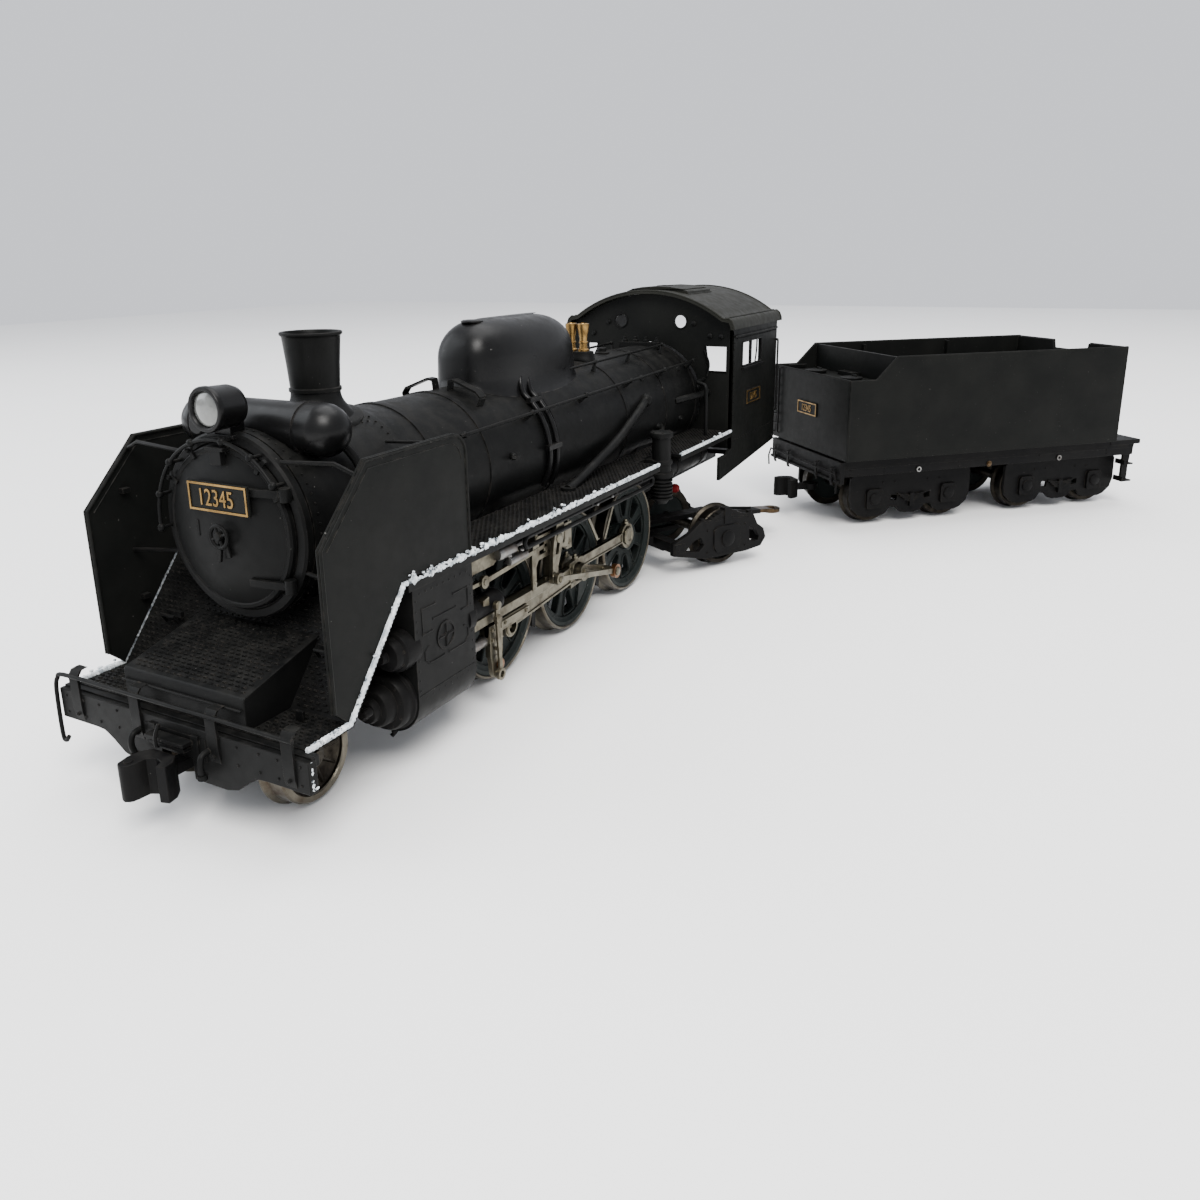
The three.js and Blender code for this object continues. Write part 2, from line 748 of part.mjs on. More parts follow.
function cabShell() {
  const inset = 0.6 + GAP;
  const wallOutline = [[-17.2, 21.0], [17.2, 21.0], [17.2, EAVES - 0.3], ...roofLine(15.4, inset, 6)];
  wallOutline.push([-17.2, EAVES - 0.3]);
  const frontWindow = (s) => [
    [s * 12.4, 35.8],
    [s * 16.2, 35.8],
    [s * 16.2, 40.9],
    [s * 11.6, 40.9],
  ];
  const wall = plate(wallOutline, "y", [CAB_FRONT, CAB_FRONT + 0.6], [
    circle(6.4, 45.3, 1.3),
    circle(-6.4, 45.3, 1.3),
    frontWindow(1),
    frontWindow(-1),
  ]);
  const sideSheet = (side) =>
    plate(
      [
        [46.4, 15.8],
        [CAB_REAR, 18.4],
        [CAB_REAR, EAVES - 0.3],
        [CAB_FRONT, EAVES - 0.3],
        [CAB_FRONT, 21.0],
        [50.5, 20.2],
        [46.4, 20.2],
      ],
      "x",
      across(side, [16.6, 17.2]),
      [
        [
          [57.6, 36.5],
          [69.0, 36.5],
          [69.0, 41.2],
          [57.6, 41.2],
        ],
      ],
    );
  const floor = block([-16.8, 16.8], [CAB_FRONT + 0.2, CAB_REAR - 1], [19.6, 20.6]);
  return cut(join(wall, sideSheet(1), sideSheet(-1), floor), boilerHole(BOILER_R + 0.5 + GAP, 50, 58));
}

function cabRoof() {
  const outer = [
    [17.9, EAVES],
    [17.5, EAVES + 1.6],
    ...roofLine(15.8, 0, 7),
    [-17.5, EAVES + 1.6],
    [-17.9, EAVES],
  ];
  const inner = [
    [-17.3, EAVES],
    [-16.9, EAVES + 1.3],
    ...roofLine(15.4, 0.6, 7).reverse(),
    [16.9, EAVES + 1.3],
    [17.3, EAVES],
  ];
  const sheet = plate([...outer, ...inner], "y", [50.3, 80.0]);
  const hatch = block([-6.6, 6.6], [55.0, 67.0], [50.0, 51.9]);
  return join(sheet, hatch);
}

// ---- trucks and couplers ------------------------------------------------------------------------
function ponyFrame() {
  const [y, z] = PONY_AXLE;
  const arm = plate(
    [
      [-1.6, -34.2],
      [1.6, -34.2],
      [3.0, -48.0],
      [4.6, y + 3],
      [-4.6, y + 3],
      [-3.0, -48.0],
    ],
    "z",
    [4.5, 5.7],
  );
  const yoke = block([-5.9, 5.9], [y - 3, y + 3.2], [4.5, 9.4]);
  return cut(
    join(arm, rod([0, PONY_PIVOT[1], 4.5], [0, PONY_PIVOT[1], 5.7], 2.6), yoke),
    rod([0, PONY_PIVOT[1], 4], [0, PONY_PIVOT[1], 6.1], 1.5),
    rod([-7, y, z], [7, y, z], 1.25),
  );
}

function carryingWheelset(y, z, tread) {
  const axle = rod([-FACE, y, z], [FACE, y, z], 1.0, 10);
  return join(axle, wheel(1, y, z, tread, 18), wheel(-1, y, z, tread, 18));
}

// Modelled straight behind its pivot, at x = 0 and y = 0, then swung with the group.
function trailingFrame() {
  const [s] = TRUCK_AXLE;
  const sideFrame = (side) =>
    plate(
      [
        [9.5, 5.0],
        [13.0, 4.2],
        [18.0, 3.4],
        [26.0, 3.4],
        [33.0, 3.0],
        [34.6, 4.0],
        [31.0, 7.4],
        [27.0, 9.6],
        [17.5, 9.6],
        [13.0, 7.6],
        [9.5, 7.2],
      ],
      "x",
      across(side, [10.8, 12.2]),
    );
  const arm = plate(
    [
      [-2.4, 0],
      [2.4, 0],
      [4.4, 12],
      [-4.4, 12],
    ],
    "z",
    [5.6, 7.2],
  );
  return cut(
    join(
      rod([0, 0, 5.6], [0, 0, 7.2], 2.6),
      arm,
      block([-12, 12], [9.8, 12.2], [5.2, 7.2]),
      block([-12, 12], [30.2, 32.4], [4.0, 6.4]),
      block([-6.0, 6.0], [11, s + 2.5], [4.2, 5.2]),
      block([-6.0, -4.8], [s - 2.5, s + 2.5], [4.2, 7.9]),
      block([4.8, 6.0], [s - 2.5, s + 2.5], [4.2, 7.9]),
      sideFrame(1),
      sideFrame(-1),
    ),
    rod([0, 0, 5], [0, 0, 8], 1.5),
    rod([-7, s, TRUCK_AXLE[1]], [7, s, TRUCK_AXLE[1]], 1.25),
  );
}

function drawbar() {
  const profile = [
    [-1, 8.2],
    [27, 8.2],
    [34, 6.6],
    [45.5, 5.8],
    [45.5, 6.6],
    [34, 7.6],
    [27, 9.1],
    [-1, 9.1],
  ];
  const side = plate(profile, "x", [-1.7, 1.7]);
  return cut(
    join(side, rod([0, 0, 8.2], [0, 0, 9.1], 2.6)),
    rod([0, 0, 8], [0, 0, 9.5], 1.5),
    rod([0, 43.6, 5], [0, 43.6, 8], 0.9, 10),
  );
}

// A knuckle coupler with its shank, pointing along -Y from a pivot at y = 0.
function knuckle(reach) {
  return join(
    block([-0.9, 0.9], [-reach, 1.6], [6.8, 8.2]),
    rod([0, 0, 6.8], [0, 0, 8.2], 1.7),
    plate(
      [
        [-1.8, -reach + 0.6],
        [1.8, -reach + 0.6],
        [2.6, -reach - 1.2],
        [1.3, -reach - 2.0],
        [1.0, -reach - 1.0],
        [-0.8, -reach - 1.2],
        [-1.2, -reach - 3.6],
        [-2.8, -reach - 3.0],
      ],
      "z",
      [5.4, 9.6],
    ),
  );
}

// ---- tender, along X from its rear (-X, which faces the cab) to its front ----------------------
const TANK_REAR = -36.8;
const TANK_FRONT = 30.4;

function tenderTank() {
  const body = plate(
    [
      [TANK_REAR, 16.2],
      [TANK_FRONT, 16.2],
      [TANK_FRONT, 37.0],
      [-26.4, 37.2],
      [-30.9, 32.7],
      [TANK_REAR, 32.7],
    ],
    "y",
    [-TENDER_HALF, TENDER_HALF],
  );
  const bunker = plate(
    [
      [-25.0, 40.0],
      [-25.0, 33.0],
      [6.0, 21.0],
      [TANK_FRONT - 0.8, 21.0],
      [TANK_FRONT - 0.8, 40.0],
    ],
    "y",
    [-TENDER_HALF + 0.8, TENDER_HALF - 0.8],
  );
  const deck = plate(
    [
      [TANK_REAR + 0.8, 40],
      [TANK_REAR + 0.8, 31.6],
      [-25.5, 31.6],
      [-24.9, 40],
    ],
    "y",
    [-TENDER_HALF + 0.8, TENDER_HALF - 0.8],
  );
  return cut(body, bunker, deck);
}

function tenderFrame() {
  const pin = (x) => rod([x, 0, 12.7], [x, 0, 9.6], 1.5);
  const step = (side) => [
    block([35.6, 37.4], across(side, [13.6, 14.8]), [6.4, 14.0]),
    block([35.6, 38.2], across(side, [12.0, 14.8]), [6.0, 6.8]),
  ];
  return join(
    block([-36.2, 37.4], [-15.2, 15.2], [14.4, 15.9]),
    block([30.8, 39.0], [-15.2, 15.2], [13.6, 14.5]),
    block([-36.0, 36.0], [-4.4, 4.4], [12.6, 14.6]),
    block([-36.0, 35.0], [12.9, 15.2], [12.4, 14.6]),
    block([-36.0, 35.0], [-15.2, -12.9], [12.4, 14.6]),
    block([-37.2, -36.0], [-15.6, 15.6], [11.0, 15.9]),
    BOGIE_AT.map(pin),
    step(1),
    step(-1),
    rod([-35.4, 0, 12.7], [-35.4, 0, 8.5], 0.8, 10),
  );
}

function bogieFrame() {
  const sideFrame = (side) =>
    plate(
      [
        [-12.6, 8.6],
        [-11.8, 4.0],
        [-6.4, 4.0],
        [-4.6, 6.0],
        [-2.8, 3.4],
        [2.8, 3.4],
        [4.6, 6.0],
        [6.4, 4.0],
        [11.8, 4.0],
        [12.6, 8.6],
        [8.0, 10.6],
        [-8.0, 10.6],
      ],
      "y",
      across(side, [10.9, 12.3]),
    );
  const bolster = block([-2.1, 2.1], [-11.2, 11.2], [6.4, 10.8]);
  return cut(join(sideFrame(1), sideFrame(-1), bolster), rod([0, 0, 9.2], [0, 0, 12], 1.8));
}

function placed(group, x, y, turn = 0) {
  group.position.set(x, y, 0);
  group.rotation.z = turn;
  return group;
}

// ---- assembly -----------------------------------------------------------------------------------
node("main_frame", mainFrame(), darkMetal);
node("keeper_plate", keeperPlate(), darkMetal);
node("boiler", boiler(), paint);
node("smokebox_front", smokeboxFront(), paint);
node("chimney", chimney(), paint);
node("feedwater_heater", feedwaterHeater(), paint);
node("headlight", headlight(), paint);
node("headlight_lens", rod([0, -57.85, 43.8], [0, -57.5, 43.8], 1.95, 18), glass);
node("dome", dome(), paint);
node("safety_valves", safetyValves(), brass);
node("cab_shell", cabShell(), paint);
node("cab_roof", cabRoof(), paint);
pair("running_board", runningBoard(), paint);
pair("deflector", deflector(), paint);
node("front_deck", frontDeck(), paint);
node("buffer_beam", bufferBeam(), paint);
pair("cylinder", cylinder(), paint);
node("motor", motor(), darkMetal);
node("worm_shaft", wormShaft(), nickel);
node("feed_pump", feedPump(), paint);

for (const index of [-1, 0, 1]) node(`driver_axle_${index + 2}`, drivingAxle(index), wheelPaint);
runningGear(1, "left");
runningGear(-1, "right");

node("pony_frame", ponyFrame(), darkMetal);
node("pony_wheelset", carryingWheelset(...PONY_AXLE, PONY_TREAD), nickel);

const truck = placed(new THREE.Group(), ...TRUCK_PIVOT, -TRUCK_SWING);
engine.add(truck);
node("trailing_frame", trailingFrame(), darkMetal, truck);
node("trailing_wheelset", carryingWheelset(...TRUCK_AXLE, CARRYING_TREAD), nickel, truck);
node("drawbar", drawbar(), darkMetal, truck);

const frontCoupler = placed(new THREE.Group(), 0, -62.5);
engine.add(frontCoupler);
node("front_coupler", knuckle(5.4), darkMetal, frontCoupler);

engine.add(tender);
node("tender_tank", tenderTank(), paint, tender);
node("tender_frame", tenderFrame(), darkMetal, tender);
BOGIE_AT.forEach((at, i) => {
  const name = ["rear", "front"][i];
  const bogie = placed(new THREE.Group(), at, 0);
  tender.add(bogie);
  node(`tender_bogie_${name}`, bogieFrame(), darkMetal, bogie);
  [-BOGIE_BASE, BOGIE_BASE].forEach((base, k) => {
    const axle = placed(new THREE.Group(), base, 0, Math.PI / 2);
    bogie.add(axle);
    const wheelset = carryingWheelset(0, TENDER_AXLE_Z, CARRYING_TREAD);
    node(`tender_wheelset_${2 * i + k + 1}`, wheelset, nickel, axle);
  });
});
const tenderCoupler = placed(new THREE.Group(), -35.4, 0, -Math.PI / 2);
tender.add(tenderCoupler);
node("tender_coupler", knuckle(4.2), darkMetal, tenderCoupler);

// The origin of the finished part is the centre of the bottom of its box.
const locomotive = new THREE.Group();
locomotive.add(engine);
const extent = new THREE.Box3().setFromObject(engine, true);
engine.position.set(-(extent.min.x + extent.max.x) / 2, -(extent.min.y + extent.max.y) / 2, -extent.min.z);

export default locomotive;
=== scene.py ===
"""A 16.5 mm gauge model of a 2-6-2 steam locomotive with its tender uncoupled and turned beside it.

Shapes are written in millimetres in the engine's own frame (X to its left, -Y to its front, Z up, zero
at the middle driving axle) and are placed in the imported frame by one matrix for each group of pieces.
"""

import random
from math import acos, asin, atan2, copysign, cos, degrees, hypot, pi, radians, sin, sqrt

import bmesh
import bpy
from mathutils import Matrix, Vector
from mathutils.geometry import tessellate_polygon


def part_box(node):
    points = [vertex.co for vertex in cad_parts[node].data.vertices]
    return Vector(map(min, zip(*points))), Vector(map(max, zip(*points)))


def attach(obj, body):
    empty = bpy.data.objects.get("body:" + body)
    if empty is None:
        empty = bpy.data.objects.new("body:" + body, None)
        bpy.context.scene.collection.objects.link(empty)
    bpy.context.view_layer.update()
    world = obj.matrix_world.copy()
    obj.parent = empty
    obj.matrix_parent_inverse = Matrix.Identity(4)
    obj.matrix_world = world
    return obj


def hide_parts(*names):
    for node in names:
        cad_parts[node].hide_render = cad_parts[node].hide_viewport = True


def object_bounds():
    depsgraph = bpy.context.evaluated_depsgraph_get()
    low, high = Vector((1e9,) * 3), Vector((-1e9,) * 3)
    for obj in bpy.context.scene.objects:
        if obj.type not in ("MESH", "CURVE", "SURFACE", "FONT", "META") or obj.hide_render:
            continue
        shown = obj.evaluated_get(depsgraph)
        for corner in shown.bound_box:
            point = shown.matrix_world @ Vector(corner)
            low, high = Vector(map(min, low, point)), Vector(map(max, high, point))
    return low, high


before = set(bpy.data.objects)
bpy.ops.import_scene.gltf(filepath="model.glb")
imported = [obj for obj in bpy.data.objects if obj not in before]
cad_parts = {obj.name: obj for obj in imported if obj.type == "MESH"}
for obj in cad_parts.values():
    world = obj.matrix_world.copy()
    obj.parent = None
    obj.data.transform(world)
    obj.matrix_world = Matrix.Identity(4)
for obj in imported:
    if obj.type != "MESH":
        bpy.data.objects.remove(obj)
cad_low, cad_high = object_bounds()
random.seed(7)

# ---- driving dimensions, millimetres ----
MM = 0.001
TOUCH = 1e-7  # metres; shorter edges are dropped, and points within twice this are joined
AXLE_Z = 10.6  # driving axles above the rails
PITCH = 20.6  # from one driving axle to the next
TREAD, FLANGE = 9.5, 0.5  # a driving tyre's radius and the height of its flange
BACK, FACE = 7.2, 10.2  # a wheel's back and face, from the middle of the track
THROW = 3.8  # from an axle to its crank pin
CRANK = {"left": radians(160), "right": radians(250)}  # each crank's angle at rest, up from the rear
SIDE = {"left": 1, "right": -1}
ROD_REACH = 20.83  # along the engine at rest, from a crank pin to its wrist
CYLINDER_X = 14.3
RETURN_THROW = 2.6  # from the middle axle to the return crank's pin
BOILER_Z, BOILER_R, SMOKEBOX_R = 30.5, 10.0, 10.4
DECK, BOARD = 12.6, 24.6  # heights of the front deck and the running boards
HALF = 17.5  # half the width over the running boards
BEAM_Y = -65.0  # the back of the buffer beam
FRONT_COUPLER_Y, PONY_PIVOT_Y, TRUCK_PIVOT_Y = -62.5, -36.5, 27.0
CAB_FRONT = 52.0
ROOF_R = 26.6
CARRYING_TREAD = 5.4
PONY_AXLE, PONY_TREAD = (-56.8, 6.3), 5.2
TRUCK_AXLE = (22.0, 6.5)
BOGIES = {"rear": -17.35, "front": 21.2}  # bogie pivots along the tender
TENDER_COUPLER_X = -35.4
BOGIE_BASE = 9.1  # from a bogie's pivot to its axles
TANK_REAR, TANK_FRONT, TANK_HALF = -36.8, 30.4, 17.3


def middle(node):
    low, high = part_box(node)
    return (low + high) / 2


ORIGIN = Vector((middle("boiler").x, middle("driver_axle_2").y, middle("driver_axle_2").z - AXLE_Z * MM))
ENGINE = Matrix.Translation(ORIGIN) @ Matrix.Scale(MM, 4)
TRUCK = ENGINE @ Matrix.Translation((0, TRUCK_PIVOT_Y, 0)) @ Matrix.Rotation(radians(-30), 4, "Z")
TENDER = ENGINE @ Matrix.Translation((50.15, 108.68, 0)) @ Matrix.Rotation(radians(43.85), 4, "Z")


# ---- shapes ----
# the two directions across each axis, then the axis itself
AXES = {"x": (Vector((0, 1, 0)), Vector((0, 0, 1)), Vector((1, 0, 0))),
        "y": (Vector((1, 0, 0)), Vector((0, 0, 1)), Vector((0, 1, 0))),
        "z": (Vector((1, 0, 0)), Vector((0, 1, 0)), Vector((0, 0, 1)))}


def circle(u, v, r, sides=24, turn=0.0):
    step = 2 * pi / sides
    return [(u + r * cos(turn + i * step), v + r * sin(turn + i * step)) for i in range(sides)]


def arc(u, v, r, start, end, steps):
    angles = [radians(start + (end - start) * i / steps) for i in range(steps + 1)]
    return [(u + r * cos(t), v + r * sin(t)) for t in angles]


def rect(u0, u1, v0, v1):
    return [(u0, v0), (u1, v0), (u1, v1), (u0, v1)]


def shifted(outline, u, v):
    return [(u + a, v + b) for a, b in outline]


def mirrored(outline):
    return [*outline, *[(-u, v) for u, v in reversed(outline) if abs(u) > 1e-6]]


def smooth_path(points, steps=6):
    """A Catmull-Rom curve through the points."""
    pts = [Vector(p) for p in points]
    ends = [2 * pts[0] - pts[1], *pts, 2 * pts[-1] - pts[-2]]
    out = []
    for a, b, c, d in zip(ends, ends[1:], ends[2:], ends[3:]):
        for i in range(steps):
            t = i / steps
            out.append(0.5 * (2 * b + (c - a) * t + (2 * a - 5 * b + 4 * c - d) * t * t
                              + (3 * b - 3 * c + d - a) * t ** 3))
    return [*out, pts[-1]]


class Shape:
    """Closed solids gathered into one mesh."""

    def __init__(self):
        self.verts = []
        self.faces = []

    def add(self, verts, faces):
        base = len(self.verts)
        self.verts += [Vector(v) for v in verts]
        self.faces += [[base + i for i in f] for f in faces]
        return self

    def rings(self, rings, closed=False):
        """Skins a list of rings of equal length, with flat caps unless they close on themselves."""
        n = len(rings[0])
        faces = []
        pairs = list(zip(range(len(rings)), range(1, len(rings))))
        if closed:
            pairs.append((len(rings) - 1, 0))
        for a, b in pairs:
            faces += [[a * n + i, a * n + (i + 1) % n, b * n + (i + 1) % n, b * n + i] for i in range(n)]
        if not closed:
            faces += [list(range(n)), [(len(rings) - 1) * n + i for i in range(n)]]
        return self.add([p for ring in rings for p in ring], faces)

    def box(self, xs, ys, zs):
        corners = [(x, y, z) for z in sorted(zs) for y in sorted(ys) for x in sorted(xs)]
        return self.add(corners, [[0, 1, 3, 2], [4, 5, 7, 6], [0, 1, 5, 4], [2, 3, 7, 6], [0, 2, 6, 4],
                                  [1, 3, 7, 5]])

    def lathe(self, profile, axis="y", centre=(0, 0, 0), sides=48, closed=False):
        """Turns a profile of (radius, distance along the axis); closed makes a ring of it."""
        u, v, w = AXES[axis]
        base = Vector(centre)
        turns = [2 * pi * i / sides for i in range(sides)]
        rings = [[base + w * s + (u * cos(t) + v * sin(t)) * max(r, 1e-4) for t in turns]
                 for r, s in profile]
        return self.rings(rings, closed)

    def plate(self, outline, axis, low, high, holes=()):
        """A flat plate across an axis, with holes."""
        u, v, w = AXES[axis]
        loops = [list(outline), *[list(h) for h in holes]]
        flat = [p for loop in loops for p in loop]
        tris = tessellate_polygon([[Vector((a, b, 0)) for a, b in loop] for loop in loops])
        n = len(flat)
        verts = [u * a + v * b + w * h for h in sorted((low, high)) for a, b in flat]
        faces = [list(t) for t in tris] + [[n + i for i in reversed(t)] for t in tris]
        start = 0
        for loop in loops:
            m = len(loop)
            faces += [[start + i, start + (i + 1) % m, n + start + (i + 1) % m, n + start + i]
                      for i in range(m)]
            start += m
        return self.add(verts, faces)

    def tube(self, points, r, sides=10, closed=False):
        """A round bar along a line of points."""
        pts = [Vector(p) for p in points]
        count = len(pts)
        normal = None
        rings = []
        for i, p in enumerate(pts):
            before = pts[(i - 1) % count] if closed or i else p
            after = pts[(i + 1) % count] if closed or i < count - 1 else p
            along = (after - before).normalized()
            if normal is None:
                normal = along.orthogonal().normalized()
            normal = (normal - along * normal.dot(along)).normalized()
            other = along.cross(normal)
            radius = r[i] if isinstance(r, (list, tuple)) else r
            rings.append([p + (normal * cos(t) + other * sin(t)) * radius
                          for t in (2 * pi * k / sides for k in range(sides))])
        return self.rings(rings, closed)

    def strip(self, points, width, thick):
        """A flat bar along a line of points; width and thick are vectors."""
        w, t = Vector(width) / 2, Vector(thick) / 2
        return self.rings([[Vector(p) + w + t, Vector(p) - w + t, Vector(p) - w - t, Vector(p) + w - t]
                           for p in points])

    def ball(self, centre, r, sides=12, squash=(1, 1, 1)):
        rows = sides // 2
        c = Vector(centre)
        rings = []
        for k in range(rows + 1):
            t = pi * k / rows
            ring_r = max(sin(t), 1e-4) * r
            rings.append([c + Vector((ring_r * cos(a) * squash[0], ring_r * sin(a) * squash[1],
                                      r * cos(t) * squash[2]))
                          for a in (2 * pi * i / sides for i in range(sides))])
        return self.rings(rings)

    def rivets(self, places, r=0.17, normal=(1, 0, 0)):
        for p in places:
            self.ball(p, r, 8, tuple(1 - 0.35 * abs(n) for n in normal))
        return self

    def bolt(self, place, axis, r=0.45, high=0.35, sign=1):
        """A hexagonal nut on a washer, standing out along an axis."""
        shift = Vector(place)
        self.drum(r * 1.25, 0, sign * high * 0.3, axis, shift, 16)
        return self.lathe([(0, 0), (r, 0), (r, sign * high * 0.85), (r * 0.8, sign * high),
                           (0, sign * high)], axis, shift, 6)

    def hub(self, s, profile, y, z, sides=48, closed=False):
        """Turns a profile of (radius, distance from the middle) on side s of the engine, across it."""
        return self.lathe([(r, s * x) for r, x in profile], "x", (0, y, z), sides, closed)

    def drum(self, r, low, high, axis="y", centre=(0, 0, 0), sides=48):
        """A plain cylinder between two distances along an axis."""
        return self.lathe([(0, low), (r, low), (r, high), (0, high)], axis, centre, sides)

    def sleeve(self, inner, outer, low, high, axis="y", centre=(0, 0, 0), sides=48):
        """A plain ring between two distances along an axis."""
        return self.lathe([(inner, low), (outer, low), (outer, high), (inner, high)], axis, centre, sides,
                          True)

    def disc(self, s, r, low, high, y, z, sides=48):
        """A drum on side s of the engine, across it."""
        return self.drum(r, s * low, s * high, "x", (0, y, z), sides)

    def collar(self, s, inner, outer, low, high, y, z, sides=48):
        """A sleeve on side s of the engine, across it."""
        return self.sleeve(inner, outer, s * low, s * high, "x", (0, y, z), sides)

    def turned(self, matrix):
        self.verts = [matrix @ v for v in self.verts]
        return self


def grid(low, high, pitch):
    count = max(1, round((high - low) / pitch))
    step = (high - low) / count
    return [low + step * (i + 0.5) for i in range(count)]


def solid(name, shape, place, weld=True):
    """A mesh object from a shape, with its faces turned out."""
    mesh = bpy.data.meshes.new(name)
    mesh.from_pydata([place @ v for v in shape.verts], [], shape.faces)
    bm = bmesh.new()
    bm.from_mesh(mesh)
    if weld:
        bmesh.ops.remove_doubles(bm, verts=bm.verts, dist=2 * TOUCH)
        bmesh.ops.dissolve_degenerate(bm, edges=bm.edges, dist=TOUCH)
    bmesh.ops.recalc_face_normals(bm, faces=bm.faces)
    bm.to_mesh(mesh)
    bm.free()
    obj = bpy.data.objects.new(name, mesh)
    bpy.context.scene.collection.objects.link(obj)
    return obj


def piece(name, shape, material, body="locomotive", place=ENGINE, replaces=(), bevel=0.0,
          sharp=38, cut=()):
    """Makes one piece of the visual model and rides it on its body. It replaces the CAD nodes that it
    lists, or the one that has its own name."""
    obj = solid(name, shape, place)
    obj.data.materials.append(material)
    for i, tool in enumerate(cut):
        carve(obj, tool, place, f"{name}_cut{i}")
    obj.data.shade_smooth()
    obj.data.set_sharp_from_angle(angle=radians(sharp))
    if bevel:
        mod = obj.modifiers.new("edges", "BEVEL")
        mod.width = bevel * MM
        mod.segments = 2
        mod.limit_method = "ANGLE"
        mod.angle_limit = radians(sharp)
        mod.harden_normals = True
    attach(obj, body)
    replaces = replaces or [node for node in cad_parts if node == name]
    if replaces:
        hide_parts(*replaces)
    return obj


def carve(obj, tool, place, name):
    """Cuts a shape out of an object's mesh."""
    cutter = solid(name, tool, place, weld=False)
    mod = obj.modifiers.new("cut", "BOOLEAN")
    mod.operation = "DIFFERENCE"
    mod.solver = "EXACT"
    mod.use_self = True
    mod.object = cutter
    bpy.context.view_layer.update()
    done = bpy.data.meshes.new_from_object(obj.evaluated_get(bpy.context.evaluated_depsgraph_get()))
    obj.modifiers.clear()
    obj.data = done
    bpy.data.objects.remove(cutter)


def piece_pair(name, shape, material, nodes=(), body="locomotive", bevel=0.0, sharp=38):
    """One piece on each side of the engine from a shape drawn for the left side."""
    for side, s in SIDE.items():
        copy = Shape().add([Vector((s * v.x, v.y, v.z)) for v in shape.verts],
                           [list(f) for f in shape.faces])
        piece(f"{name}_{side}", copy, material, body, bevel=bevel, sharp=sharp,
              replaces=[f"{n}_{side}" for n in nodes])


# ---- materials ----
class Nodes:
    """Short hand for building a node tree."""

    def __init__(self, name):
        self.material = bpy.data.materials.new(name)
        self.material.use_nodes = True
        self.tree = self.material.node_tree
        self.shader = self.tree.nodes["Principled BSDF"]
        self.coords = self.make("ShaderNodeMapping", {0: self.make("ShaderNodeTexCoord").outputs["Object"],
                                                      3: (1 / MM, 1 / MM, 1 / MM)}).outputs[0]

    def make(self, kind, inputs=None, **props):
        node = self.tree.nodes.new(kind)
        for key, value in props.items():
            setattr(node, key, value)
        for key, value in (inputs or {}).items():
            if isinstance(value, bpy.types.NodeSocket):
                self.tree.links.new(value, node.inputs[key])
            else:
                node.inputs[key].default_value = value
        return node

    def noise(self, scale, detail=4.0, rough=0.55, stretch=None):
        coords = self.coords
        if stretch:
            coords = self.make("ShaderNodeMapping", {0: coords, 3: stretch}).outputs[0]
        return self.make("ShaderNodeTexNoise", {"Vector": coords, "Scale": scale, "Detail": detail,
                                                "Roughness": rough}).outputs[0]

    def ramp(self, factor, stops):
        node = self.make("ShaderNodeValToRGB", {0: factor})
        points = node.color_ramp.elements
        while len(points) < len(stops):
            points.new(0.5)
        for point, (at, colour) in zip(points, stops):
            point.position = at
            point.color = (*colour, 1) if isinstance(colour, tuple) else (colour, colour, colour, 1)
        return node.outputs[0]

    def math(self, operation, a, b=0.5, clamp=False):
        return self.make("ShaderNodeMath", {0: a, 1: b}, operation=operation, use_clamp=clamp).outputs[0]

    def mix(self, factor, a, b):
        def colour(c):
            return c if isinstance(c, bpy.types.NodeSocket) else (*c, 1)
        return self.make("ShaderNodeMix", {0: factor, 6: colour(a), 7: colour(b)},
                         data_type="RGBA").outputs[2]

    def upward(self):
        """How far the surface faces up, 0 to 1."""
        normal = self.make("ShaderNodeNewGeometry").outputs["Normal"]
        return self.math("MAXIMUM", self.make("ShaderNodeSeparateXYZ", {0: normal}).outputs[2], 0.0)

    def edges(self, radius, low=0.02, high=0.25):
        """Bright where an edge is convex enough to wear."""
        worn_normal = self.make("ShaderNodeBevel", {"Radius": radius * MM}, samples=6).outputs[0]
        normal = self.make("ShaderNodeNewGeometry").outputs["Normal"]
        dot = self.make("ShaderNodeVectorMath", {0: worn_normal, 1: normal},
                        operation="DOT_PRODUCT").outputs["Value"]
        return self.make("ShaderNodeMapRange", {0: self.math("SUBTRACT", 1.0, dot), 1: low,
                                                2: high}).outputs[0]

    def finish(self, colour, rough, metal=0.0, bumps=(), **fixed):
        s = self.shader
        for socket, value in ((s.inputs["Base Color"], colour), (s.inputs["Roughness"], rough),
                              (s.inputs["Metallic"], metal)):
            if isinstance(value, bpy.types.NodeSocket):
                self.tree.links.new(value, socket)
            else:
                socket.default_value = value if not isinstance(value, tuple) else (*value, 1)
        normal = None
        for height, strength, distance in bumps:
            inputs = {"Height": height, "Strength": strength, "Distance": distance * MM}
            if normal is not None:
                inputs["Normal"] = normal
            normal = self.make("ShaderNodeBump", inputs).outputs[0]
        if normal is not None:
            self.tree.links.new(normal, s.inputs["Normal"])
        for key, value in fixed.items():
            s.inputs[key.replace("_", " ")].default_value = value
        return self.material


